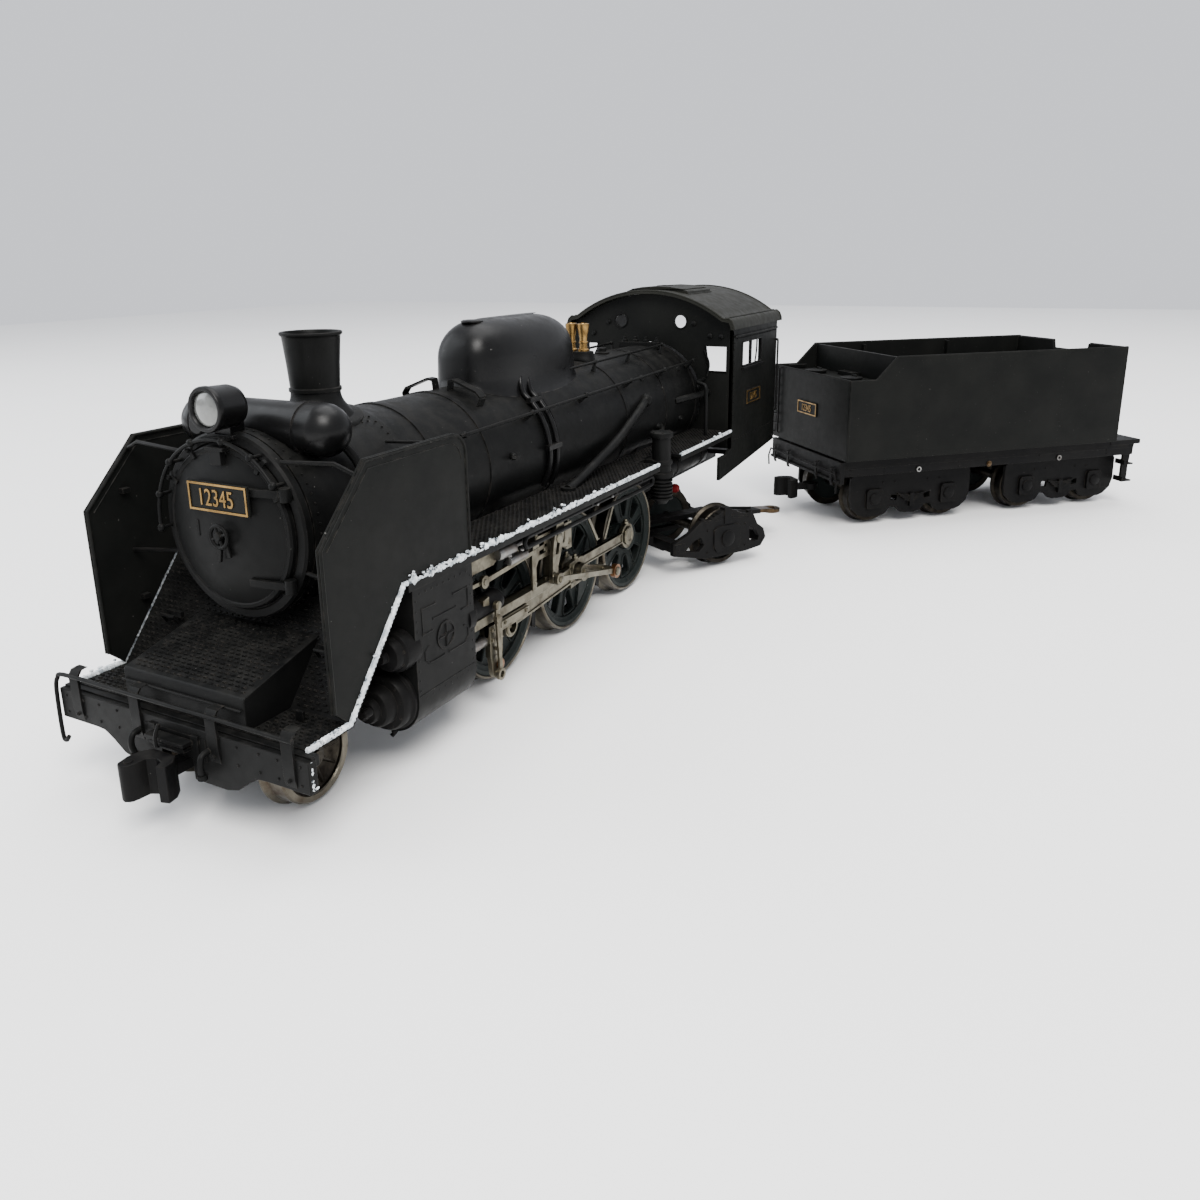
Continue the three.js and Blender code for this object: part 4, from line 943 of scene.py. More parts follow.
def white_line(points, jitter, rough):
    """A hand-painted edge: a thin bar whose outline wanders, with brushed-out dabs where it is rough."""
    shape = Shape()
    pts = [Vector(p) for p in points]
    line = []
    for a, b in zip(pts, pts[1:]):
        count = max(2, int((b - a).length / 0.24))
        line += [a.lerp(b, i / count) for i in range(count)]
    line.append(pts[-1])
    rings = []
    drift = 0.0
    side = Vector((1, 0, 0))
    for i, p in enumerate(line):
        drift = 0.6 * drift + 0.55 * random.uniform(-1, 1)
        fade = rough(p) if callable(rough) else rough
        knurl = jitter * (i % 2)
        half_w = 0.27 + knurl + fade * (0.35 * drift + 0.3 * random.uniform(-1, 1))
        half_h = 0.33 + knurl * 0.5 + fade * (0.5 * drift + 0.35 * random.uniform(-1, 1))
        up = (line[min(i + 1, len(line) - 1)] - line[max(i - 1, 0)]).cross(side).normalized()
        up = -up if up.z < 0 else up
        c = p + up * fade * 0.35 * drift
        rings.append([c + side * max(half_w, 0.14) * x + up * max(half_h, 0.16) * z
                      for x, z in ((0.25, -1), (0.75, -0.6), (0.9, 0.1), (0.6, 0.75), (-0.6, 0.75),
                                   (-1, 0.2), (-0.8, -1))])
        if random.random() < fade * 0.5:
            dab = c + side * random.uniform(-0.5, 0.3) + up * random.uniform(0.1, 0.75)
            shape.ball(dab, random.uniform(0.10, 0.26), 8, (1.1, random.uniform(0.8, 2.2), 0.8))
    return shape.rings(rings)


def deck():
    top = [(-64.7, DECK), (-58.6, DECK), (-48.9, BOARD)]
    under = [(y + 0.15, z - 0.3) for y, z in top]
    sheet = Shape().plate([*top, *reversed(under)], "x", -HALF, HALF)
    bore = barrel(0.1, -70, -30)
    piece("front_deck", sheet, BLACK, cut=[bore])
    box = Shape()
    box.plate([(-64.6, DECK - 0.1), (-64.6, 15.8), (-64.4, 16.15), (-53.6, 19.0), (-53.4, 18.8),
               (-53.4, 18.2), (-58.4, DECK - 0.1)], "x", -9, 9)
    piece("deck_box", box, BLACK, bevel=0.25)
    pads = Shape()
    flat = Matrix.Translation((0, 0, DECK))
    tread_pads(pads, flat, -17.2, 17.2, -64.3, -58.8, lambda u, v: abs(u) > 9.4)
    slope = atan2(BOARD - DECK, 9.7)
    length = hypot(9.7, BOARD - DECK)
    ramp = Matrix.Translation((0, -58.6, DECK)) @ Matrix.Rotation(slope, 4, "X")

    def clear(u, v):
        y, z = -58.6 + v * cos(slope), DECK + v * sin(slope)
        off_smokebox = hypot(u, z - BOILER_Z) > SMOKEBOX_R + 0.6
        under_box = abs(u) < 9.4 and z < 16.6 + (y + 58) * 0.3
        return off_smokebox and not under_box

    tread_pads(pads, ramp, -17.2, 17.2, 0.3, length - 0.3, clear)
    lid = Matrix.Translation((0, -64.3, 16.18)) @ Matrix.Rotation(atan2(2.85, 10.8), 4, "X")
    tread_pads(pads, lid, -8.8, 8.8, 0.3, 10.6)
    piece("deck_tread_plate", pads, BLACK)


def deck_steps():
    bits = Shape()
    for s in (1, -1):
        bits.box((s * 10.6, s * 13.0), (-55.4, -54.9), (18.2, 18.9))
        bits.tube([(s * 10.8, -55.6, 17.6), (s * 10.8, -56.2, 18.6), (s * 12.8, -56.2, 18.6),
                   (s * 12.8, -55.6, 17.6)], 0.2, 8)
        bits.strip([(s * 12.2, -60.4, DECK + 0.05), (s * 12.2, -60.4, DECK + 1.2)], (1.1, 0, 0),
                   (0, 0.3, 0))
    bits.tube([(-8.9, -64.9, 14.9), (8.9, -64.9, 14.9)], 0.14, 8)
    piece("deck_steps", bits, BLACK, bevel=0.05)


def deck_white_edges():
    for name, s in SIDE.items():
        edge = [(s * HALF - s * 0.12, -64.9, DECK + 0.12), (s * HALF - s * 0.12, -58.75, DECK + 0.16),
                (s * HALF - s * 0.12, -49.0, BOARD + 0.1)]
        white = white_line(edge, 0.10, 0.10)
        end = white_line([(s * 18.4, -65.6, 9.0), (s * 18.4, -65.6, 12.2)], 0.03, 0.3)
        white.add(end.verts, end.faces)
        piece(f"white_edge_deck_{name}", white, WHITE)


BOARD_START, BOARD_END = -48.4, 51.4
PUMP_GAP = (17.6, 26.5)  # the running boards are cut back here to clear the pumps


def board_underside(name, s):
    """The pipe loop, the air reservoir and the brackets below one running board."""
    under = Shape()
    loop = [Vector((s * 16.5, y, z)) for y, z in [*arc(-22.6, 22.05, 0.7, 90, 270, 8),
                                                  *arc(16.2, 22.05, 0.7, -90, 90, 8)]]
    under.tube(loop, 0.32, 10, closed=True)
    under.tube([(s * 15.2, -8, 22.6), (s * 15.2, 17, 22.6)], 0.3, 8)
    under.tube([(s * 14.2, -10, 22.9), (s * 14.2, 24, 22.9)], 0.3, 8)
    for y in (-19, -5, 3, 12):
        under.box((s * 14.0, s * 16.9), (y - 0.25, y + 0.25), (22.8, 23.6))
    under.lathe([(0, 27.5), (1.6, 27.9), (2.0, 28.8), (2.0, 45.0), (1.6, 45.9), (0, 46.3)], "y",
                (s * 13.2, 0, 21.4), 28)
    for y in (31, 42.5):
        under.box((s * 12.2, s * 14.2), (y - 0.4, y + 0.4), (21.4, 24.2))
        under.lathe([(1.98, y - 0.5), (2.15, y - 0.45), (2.15, y + 0.45), (1.98, y + 0.5)], "y",
                    (s * 13.2, 0, 21.4), 28, closed=True)
    for y in (-46, -30, -12, 6):
        under.box((s * 9.6, s * (HALF - 0.6)), (y - 0.3, y + 0.3), (BOARD - 1.0, BOARD - 0.4))
    piece(f"board_underside_{name}", under, BLACK, bevel=0.05)


def boards():
    for name, s in SIDE.items():
        gap_start, gap_end = PUMP_GAP
        plan = [(9.4, BOARD_START), (HALF, BOARD_START), (HALF, gap_start), (13.4, gap_start),
                (13.4, gap_end), (HALF, gap_end), (HALF, BOARD_END), (9.4, BOARD_END)]
        board = Shape().plate([(s * x, y) for x, y in plan], "z", BOARD - 0.45, BOARD)
        for y0, y1 in ((BOARD_START, gap_start), (gap_end, BOARD_END)):
            board.box((s * (HALF - 0.35), s * HALF), (y0, y1), (BOARD - 1.15, BOARD))
        piece(f"running_board_{name}", board, BLACK, cut=[barrel(0.15, -50, 55)])
        pads = Shape()
        turn = Matrix.Translation((0, 0, BOARD))

        def outside(x, y):
            return abs(x) > 9.5 and not (17.2 < y < 26.9 and abs(x) > 13.0)

        low, high = sorted((s * 9.2, s * (HALF - 0.35)))
        tread_pads(pads, turn, low, high, -48.2, 51.0, outside, pitch=(0.66, 0.54), pad=(0.44, 0.24),
                   high=0.12)
        piece(f"running_board_tread_{name}", pads, BLACK)
        white = white_line([(s * (HALF - 0.1), -48.9, BOARD), (s * (HALF - 0.1), 17.4, BOARD)], 0.0,
                           lambda p: 0.08 + 0.62 * max(0.0, min(1.0, (4 - p.y) / 45)))
        aft = white_line([(s * (HALF - 0.1), 26.7, BOARD), (s * (HALF - 0.1), 51.6, BOARD)], 0.0, 0.04)
        white.add(aft.verts, aft.faces)
        piece(f"white_edge_board_{name}", white, WHITE)
        board_underside(name, s)


def pipe_clips():
    spots = Shape()
    spots.ball((16.95, 1.2, 22.9), 0.28, 8)
    spots.ball((16.95, -3.6, 22.75), 0.24, 8)
    piece("pipe_clips", spots, STEEL)


def red_valve_wheel():
    red = Shape().lathe([(0, -0.75), (0.6, -0.7), (0.85, -0.3), (0.85, 0.3), (0.6, 0.7), (0, 0.75)], "x",
                        (10.5, 40.5, 14.9), 20)
    piece("red_valve_wheel", red, RED)


PUMP_X, PUMP_Y = 15.8, 22


def feed_pump():
    tall = Shape()
    profile = [(0, 16.8), (1.0, 16.9), (1.3, 17.4)]
    for k in range(6):
        z = 17.6 + k * 0.62
        profile += [(1.45, z), (1.95, z + 0.12), (1.95, z + 0.34), (1.45, z + 0.46)]
    profile += [(1.5, 21.5), (2.05, 21.6), (2.05, 22.3), (1.6, 22.4), (1.6, 23.7), (1.85, 23.8),
                (1.85, 24.4), (1.6, 24.5), (1.6, 28.3), (1.95, 28.4), (2.02, 28.9), (1.9, 29.2),
                (1.1, 29.35), (0, 29.4)]
    tall.lathe(profile, "z", (PUMP_X, PUMP_Y, 0), 40)
    for k in range(6):
        a = radians(60 * k)
        tall.lathe([(0, 0), (0.24, 0), (0.24, 0.3), (0, 0.34)], "z",
                   (PUMP_X + 1.55 * cos(a), PUMP_Y + 1.55 * sin(a), 29.05), 8)
    tall.box((13.0, 15.0), (20.6, 23.4), (23.6, 24.6))
    piece("feed_pump", tall, BLACK, bevel=0.04)


def air_compressor():
    twin = Shape().lathe([(0, 18.4), (1.6, 18.5), (1.75, 19.4), (1.75, 23.0), (2.0, 23.1), (2.0, 24.0),
                          (1.7, 24.1), (1.7, 28.0), (1.9, 28.2), (1.2, 28.8), (0, 28.9)], "z",
                         (-PUMP_X, PUMP_Y, 0), 36)
    for z in (19.8, 20.5, 21.2, 25.0, 25.8, 26.6):
        twin.lathe([(1.68, z), (1.9, z + 0.08), (1.9, z + 0.3), (1.68, z + 0.38)], "z",
                   (-PUMP_X, PUMP_Y, 0), 36, closed=True)
    twin.box((-15.0, -13.0), (20.6, 23.4), (23.6, 24.6))
    piece("air_compressor", twin, BLACK, bevel=0.04)


def deflectors():
    outline = [(-60.7, 14.6), (-58.9, DECK + 0.35), (-49.2, BOARD + 0.35), (-36.6, BOARD + 0.35),
               (-36.6, 36.4), *arc(-39.1, 36.5, 2.5, 5, 90, 8), (-53.6, 38.9), (-60.7, 31.5)]
    rim = [(-60.7, 14.6), (-60.7, 31.5), (-53.6, 38.9), *reversed(arc(-39.1, 36.5, 2.5, 5, 90, 8)),
           (-36.6, 36.4), (-36.6, BOARD + 0.4)]
    for name, s in SIDE.items():
        sheet = Shape().plate(outline, "x", s * (HALF - 0.58), s * (HALF - 0.2))
        for side in (HALF - 0.2, HALF - 0.58):
            edge = [Vector((s * side, y, z)) for y, z in rim]
            sheet.tube(edge, 0.2, 8)
            inner = [Vector((s * side, -49.2 + (y + 49.2) * 0.93, 27.8 + (z - 27.8) * 0.925))
                     for y, z in rim[1:-2]]
            sheet.tube(inner, 0.07, 6)
        piece(f"deflector_{name}", sheet, PLATE_BLACK)
        hinge = Shape()
        for y, z in ((-56.0, 33.0), (-55.2, 20.0)):
            hinge.box((s * 16.2, s * 16.9), (y - 0.5, y + 0.5), (z - 0.3, z + 0.3))
        piece(f"deflector_brackets_{name}", hinge, BLACK, bevel=0.05)


def beam():
    outline = [(0, 6.3), (7.0, 6.3), (8.6, 6.7), (10.2, 7.9), (11.6, 8.7), (12.8, 8.8), (18.6, 8.8),
               (18.6, 12.3), (0, 12.3)]
    plate = Shape().plate(mirrored(outline), "y", BEAM_Y - 1.1, BEAM_Y)
    piece("buffer_beam", plate, BLACK, bevel=0.12, cut=[Shape().box((-2.3, 2.3), (-67, -63.5), (5, 8.7))])
    fill = Shape().box((-18.5, 18.5), (BEAM_Y - 0.5, -64.5), (11.4, 12.5))
    piece("beam_angle", fill, BLACK, bevel=0.05)
    gear = Shape()
    y = -66.25
    lever = [(-17.6, y - 0.3, 6.7), (-18.2, y - 0.3, 6.1), (-18.8, y - 0.2, 6.9), (-18.8, y - 0.1, 12.0),
             (-18.4, y, 13.6), (-17.2, y, 14.2), (-10, y - 0.1, 14.3), (0, y - 0.1, 14.3),
             (10, y - 0.1, 14.3), (17.0, y, 14.2)]
    gear.tube(smooth_path(lever, 4), 0.24, 10)
    for x in (-15.4, -5.6, 5.9, 16.2):
        gear.strip([(x, y + 0.25, 9.2), (x, y + 0.05, 10.2), (x, y, 14.4), (x, y + 0.45, 15.0),
                    (x, y + 1.2, 15.1)], (1.5, 0, 0), (0, 0.3, 0))
        gear.ball((x, y - 0.12, 9.9), 0.24, 8)
    for x in (-3.2, 3.2):
        gear.plate(rect(x - 0.5, x + 0.5, 8.8, 11.6), "y", y - 0.1, y + 0.2)
    gear.plate(rect(-4.6, 4.6, 8.8, 11.4), "y", y + 0.1, y + 0.2)
    gear.box((-2.9, 2.9), (y - 1.3, y), (10.6, 11.0))
    gear.box((-2.6, 2.6), (y - 1.0, y), (9.9, 10.3))
    gear.tube(smooth_path([(-0.9, y - 0.9, 12.4), (-0.9, y - 1.5, 11.2), (-0.6, y - 1.7, 10.2)], 3), 0.2, 8)
    for sx in (1, -1):
        hose = [(sx * 5.2, y, 10.4), (sx * 5.2, y - 1.0, 10.2), (sx * 5.2, y - 1.3, 9.2),
                (sx * 5.1, y - 1.1, 8.1)]
        gear.tube(smooth_path(hose, 4), 0.34, 10)
        gear.drum(0.5, 0, 0.5, "z", (sx * 5.1, y - 1.1, 7.7), 12)
        gear.rivets([(sx * x, y + 0.12, z) for x in (9, 12, 14.5, 17.5) for z in (9.6, 11.6)], 0.17,
                    (0, 1, 0))
    piece("beam_fittings", gear, BLACK, bevel=0.05)


def knuckle(name, node, place):
    """A knuckle coupler head with its shank, pointing along -Y from its pivot."""
    reach = {"front_coupler": 5.4, "tender_coupler": 4.2}[node]
    head = Shape()
    head.box((-0.85, 0.85), (-reach, 1.3), (6.85, 8.15))
    head.drum(1.7, 6.82, 8.18, "z", (0, 0, 0), 28)
    jaw = [(-1.9, -reach + 0.5), (1.5, -reach + 0.5), (2.3, -reach - 0.5), (2.55, -reach - 1.7),
           (1.5, -reach - 2.0), (1.2, -reach - 1.1), (0.2, -reach - 0.8), (-0.75, -reach - 1.3),
           (-0.9, -reach - 2.6)]
    head.plate([*jaw, *arc(-1.85, -reach - 2.7, 0.9, 0, -150, 6), (-2.9, -reach - 1.8),
                (-2.6, -reach - 0.4)], "z", 5.45, 9.5)
    head.drum(0.5, 5.42, 9.6, "z", (-1.85, -reach - 2.5, 0), 16)
    piece(name, head, CHASSIS, node, place, replaces=[node], bevel=0.14)


deck()
deck_steps()
deck_white_edges()
boards()
pipe_clips()
red_valve_wheel()
feed_pump()
air_compressor()
deflectors()
beam()
knuckle("front_knuckle", "front_coupler", ENGINE @ Matrix.Translation((0, FRONT_COUPLER_Y, 0)))
knuckle("tender_knuckle", "tender_coupler", TENDER @ Matrix.Translation((TENDER_COUPLER_X, 0, 0))
        @ Matrix.Rotation(radians(-90), 4, "Z"))


# ---- cylinders and motion brackets ----
SIDE_FACE = 17.0
BORE_X, BORE_Z, BORE_R = 12.7, 9.9, 4.3
COVER_X, COVER_Y = 13.1, -41.7
VALVE_X, VALVE_Z = 14.9, 16.2


def cylinder_casings():
    casing = Shape()
    wrap = [(11.7, 23.2), (SIDE_FACE, 23.2), *arc(BORE_X, BORE_Z, BORE_R, 0, -205, 40), (9.6, 13.4),
            (11.7, 13.4)]
    casing.plate(wrap, "y", -47.3, -36.0)
    piece_pair("cylinder_casing", casing, BLACK, ["cylinder"], bevel=0.18)


def cylinder_rivets():
    trim = Shape()
    trim.sleeve(1.42, 1.72, SIDE_FACE - 0.1, SIDE_FACE + 0.12, "x", (0, COVER_Y, VALVE_Z), 32)
    trim.drum(1.5, SIDE_FACE - 0.1, SIDE_FACE + 0.02, "x", (0, COVER_Y, VALVE_Z), 32)
    for k in range(2):
        a = radians(90 * k)
        c, s = 1.4 * cos(a), 1.4 * sin(a)
        trim.tube([(SIDE_FACE + 0.04, COVER_Y - c, VALVE_Z - s),
                   (SIDE_FACE + 0.04, COVER_Y + c, VALVE_Z + s)], 0.15, 8)
    trim.ball((SIDE_FACE + 0.06, COVER_Y, VALVE_Z), 0.32, 10)
    panel = SIDE_FACE - 0.02
    lines = [[(-45.9, 17.6), (-45.9, 20.6), (-43.4, 20.6)],
             [(-40.0, 20.6), (-37.2, 20.6), (-37.2, 18.2), (-38.6, 18.2)], [(-45.9, 17.6), (-44.2, 17.6)],
             [(-43.9, 18.9), (-39.6, 18.9)], [(-42.2, 13.9), (-45.0, 13.9), (-45.7, 14.5), (-45.7, 15.5),
                                              (-44.9, 16.0)],
             [(-41.2, 13.9), (-38.2, 13.9), (-37.4, 14.5), (-37.4, 15.6), (-38.2, 16.1)]]
    for line in lines:
        trim.tube([(panel, y, z) for y, z in line], 0.12, 8)
    places = [(panel - 0.06, y, 10.0) for y in grid(-46.4, -37.0, 1.2)]
    places += [(SIDE_FACE - 0.06, y, z) for y in (-46.8, -36.5) for z in grid(10.6, 22.4, 1.15)]
    seam = [(-47.0, 10.6), (-36.3, 10.6)]
    trim.tube([(SIDE_FACE - 0.04, y, z) for y, z in seam], 0.09, 6)
    places += [(SIDE_FACE - 0.06, y, 22.5) for y in grid(-46.6, -36.7, 1.05)]
    places += [(panel, y, z) for y, z in ((-45.9, 20.6), (-43.4, 20.6), (-40.0, 20.6), (-37.2, 20.6),
                                          (-45.9, 17.6), (-43.9, 18.9), (-39.6, 18.9), (-42.2, 13.9),
                                          (-41.2, 13.9), (-44.2, 17.6))]
    trim.rivets(places, 0.2)
    piece_pair("cylinder_rivets", trim, BLACK)


def cylinder_covers():
    covers = Shape()
    covers.lathe([(0, -52.7), (0.5, -52.65), (0.75, -52.4), (0.75, -51.9), (1.3, -51.8), (1.45, -51.5),
                  (1.45, -50.9), (2.1, -50.75), (2.35, -50.4), (2.45, -49.3), (3.2, -49.1), (3.45, -48.7),
                  (3.45, -47.9), (3.75, -47.7), (3.75, -46.0), (0, -46.0)], "y", (COVER_X, 0, BORE_Z), 48)
    for k in range(10):
        a = radians(36 * k + 10)
        covers.ball((COVER_X + 2.9 * cos(a), -49.05, BORE_Z + 2.9 * sin(a)), 0.22, 8)
    covers.lathe([(0, -53.5), (0.4, -53.45), (0.5, -53.2), (0.5, -52.4), (0, -52.4)], "y",
                 (CYLINDER_X, 0, AXLE_Z), 12)
    covers.lathe([(0, -51.0), (0.55, -50.95), (0.7, -50.7), (0.7, -50.2), (1.7, -50.0), (1.95, -49.6),
                  (1.95, -49.0), (2.3, -48.8), (2.4, -48.4), (2.4, -46.5), (0, -46.5)], "y",
                 (VALVE_X, 0, VALVE_Z), 40)
    for k in range(8):
        a = radians(45 * k + 15)
        covers.ball((VALVE_X + 1.9 * cos(a), -49.1, VALVE_Z + 1.9 * sin(a)), 0.17, 8)
    covers.lathe([(0, -37), (3.3, -37), (3.3, -35.8), (3.0, -35.6), (0, -35.5)], "y", (COVER_X, 0, BORE_Z),
                 40)
    covers.lathe([(0, -37), (1.7, -37), (1.7, -35.0), (1.25, -34.9), (1.25, -35.4), (0, -35.4)], "y",
                 (CYLINDER_X, 0, AXLE_Z), 28)
    covers.lathe([(0, -37), (2.35, -37), (2.35, -35.7), (1.9, -35.4), (1.3, -35.3), (1.3, -34.2),
                  (0, -34.2)], "y", (VALVE_X, 0, VALVE_Z), 32)
    covers.lathe([(0, -36.5), (1.5, -36.5), (1.5, -33.9), (1.56, -33.8), (1.56, -33.3), (1.45, -33.2),
                  (1.45, -27.6), (1.5, -27.5), (1.5, -26.9), (1.2, -26.4), (0, -26.3)], "y",
                 (13.85, 0, 15.2), 32)
    for y in (-47.0, -40.5):
        covers.tube([(12.9, y, 6.2), (12.9, y, 5.2), (12.7, y - 0.4, 4.9)], 0.28, 8)
        covers.lathe([(0, 5.2), (0.38, 5.3), (0.38, 5.7), (0, 5.8)], "z", (12.9, y, 0), 10)
    covers.tube([(12.9, -47.0, 5.5), (12.9, -40.5, 5.5)], 0.12, 8)
    piece_pair("cylinder_covers", covers, CHASSIS, bevel=0.03)


def slide_bars():
    bars = Shape()
    bars.plate([(-36.0, 13.05), (-14.0, 13.05), (-13.7, 13.3), (-13.7, 14.1), (-14.0, 14.3), (-34.5, 14.3),
                (-36.0, 14.0)], "x", 13.8, 15.2)
    for y in (-34.9, -14.9):
        bars.lathe([(0, 14.2), (0.4, 14.2), (0.4, 14.6), (0, 14.65)], "z", (14.5, y, 0), 6)
    piece_pair("slide_bar", bars, NICKEL, bevel=0.08)


def link_brackets():
    hanger = Shape()
    holes = [rect(-17.7 + 2.6 * k, -15.9 + 2.6 * k, 18.7, 20.3) for k in range(3)]
    outline = [(-19.6, 14.0), (-18.6, 14.0), (-18.6, 17.2), (-18.0, 18.0), (-11.0, 18.0), (-10.0, 17.4),
               (-8.7, 17.4), (-8.7, 21.4), (-18.2, 21.4), (-19.2, 20.6), (-19.6, 19.0)]
    hanger.plate(outline, "x", 14.9, 15.3, holes=holes)
    hanger.box((14.0, 15.2), (-18.4, -17.9), (20.3, 23.6))
    hanger.box((14.0, 15.2), (-9.6, -9.1), (20.3, 23.6))
    hanger.plate([(-36.0, 20.2), (-28.0, 20.2), (-26.8, 20.9), (-26.8, 22.4), (-36.0, 22.4)], "x", 14.3,
                 14.7)
    hanger.plate(rect(-14.6, -13.2, 13.2, 22.9), "x", 13.9, 15.1)
    hanger.box((8.9, 15.1), (-14.5, -13.5), (19.7, 23.4))
    for y, z in ((-18.9, 15.0), (-18.9, 19.6), (-9.3, 18.2), (-9.3, 20.8)):
        hanger.lathe([(0, 15.2), (0.32, 15.2), (0.32, 15.36), (0.2, 15.4), (0, 15.4)], "x", (0, y, z), 10)
    hanger.strip([(12.2, 2.0, 19.0), (12.2, 5.2, 14.3), (12.2, 5.8, 14.5)], (0, 0.7, 0), (0.25, 0, 0))
    hanger.strip([(12.2, 10.6, 18.6), (12.2, 7.6, 13.8)], (0, 0.7, 0), (0.25, 0, 0))
    piece_pair("link_bracket", hanger, NICKEL, bevel=0.06)


def reach_rods():
    rod = Shape()
    rod.lathe([(0, -28.0), (0.8, -27.8), (0.95, -27.4), (0.95, -24.2), (0.7, -23.9), (0.4, -23.7),
               (0.4, -21.5), (0, -21.4)], "y", (15.0, 0, 21.6), 20)
    rod.lathe([(0, -26.2), (0.6, -26.0), (0.6, -21.9), (0, -21.8)], "y", (15.6, 0, 20.2), 16)
    for y in (-25.6, -22.6):
        rod.ball((15.5, y, 20.9), 0.42, 10)
    piece_pair("reach_rod", rod, STEEL, bevel=0.04)


# ---- wheels, rods and valve gear ----
def pin_place(side):
    """The crank pin, from its own axle's middle along the engine and above the rails."""
    return THROW * cos(CRANK[side]), AXLE_Z + THROW * sin(CRANK[side])


def return_pin(side):
    """Where the return crank carries the eccentric rod."""
    back = CRANK[side] - CRANK["left"]
    return RETURN_THROW * cos(back), AXLE_Z + RETURN_THROW * sin(back)


def wrist(side):
    """Where the main rod's front end meets the crosshead."""
    return THROW * cos(CRANK[side]) - ROD_REACH, AXLE_Z


def wheel_tyre(shape, side, y, z, tread, face=FACE, back=BACK, flange=FLANGE, rim=1.3):
    """The turned tyre with its flange and coned tread."""
    s = side
    inner = tread - rim
    profile = [(inner, back), (tread, back), (tread + flange * 0.8, back + 0.06),
               (tread + flange, back + 0.22), (tread + flange * 0.92, back + 0.48),
               (tread + 0.12, back + 0.78), (tread, back + 0.95), (tread - 0.05, face - 0.22),
               (tread - 0.25, face), (inner + 0.12, face), (inner, face - 0.15)]
    shape.hub(s, profile, y, z, 72, closed=True)


def driving_wheel(side_name, y):
    s = SIDE[side_name]
    psi = CRANK[side_name]
    tyre = Shape()
    wheel_tyre(tyre, s, y, AXLE_Z, TREAD, rim=0.55)
    centre = Shape()
    rim = [(7.6, BACK + 0.35), (9.0, BACK + 0.35), (9.0, FACE - 0.2), (8.8, FACE - 0.05), (8.3, FACE - 0.1),
           (8.1, FACE - 0.3), (7.6, FACE - 0.5)]
    centre.hub(s, rim, y, AXLE_Z, 72, closed=True)
    holes = []
    for k in range(8):
        mid = psi + radians(22.5 + 45 * k)
        reach = radians(15)
        outer = [(7.4, mid + reach * t) for t in (-0.8, -0.4, 0, 0.4, 0.8)] + [(7.0, mid + reach * 0.95)]
        hub_end = [(3.9, mid + reach * 0.75), (3.5, mid + reach * 0.4), (3.5, mid - reach * 0.4),
                   (3.9, mid - reach * 0.75)]
        pts = [(7.0, mid - reach * 0.95), *outer, *hub_end]
        holes.append([(y + r * cos(a), AXLE_Z + r * sin(a)) for r, a in pts])
    centre.plate(circle(y, AXLE_Z, 7.9, 72), "x", s * (BACK + 1.0), s * (FACE - 0.95), holes=holes)
    for hole in holes:
        centre.tube([Vector((s * (FACE - 0.92), p[0], p[1])) for p in hole], 0.2, 8, closed=True)
    hub = [(0, BACK), (2.4, BACK), (2.4, FACE + 0.15), (2.1, FACE + 0.4), (1.25, FACE + 0.4),
           (1.15, FACE + 0.25), (0, FACE + 0.25)]
    centre.hub(s, hub, y, AXLE_Z, 36)
    dy, dz = pin_place(side_name)
    boss = [(0, FACE - 1.2), (1.9, FACE - 1.2), (1.9, FACE + 0.1), (1.7, FACE + 0.3), (0, FACE + 0.3)]
    centre.hub(s, boss, y + dy, dz, 28)
    back_to = psi + pi
    weight = [(7.3 * cos(back_to + t), 7.3 * sin(back_to + t))
              for t in (radians(d) for d in range(-50, 51, 10))]
    weight += [(4.6 * cos(back_to + t), 4.6 * sin(back_to + t)) for t in (radians(d) for d in (22, 0, -22))]
    if abs(y) < 1:
        centre.plate([(y + u, AXLE_Z + v) for u, v in weight], "x", s * (FACE - 1.0), s * (FACE - 0.45))
    centre.rivets([(s * (FACE - 0.25), y + 8.1 * cos(a), AXLE_Z + 8.1 * sin(a))
                   for a in (psi + radians(22.5 + 45 * k) for k in range(8))], 0.16)
    return tyre, centre


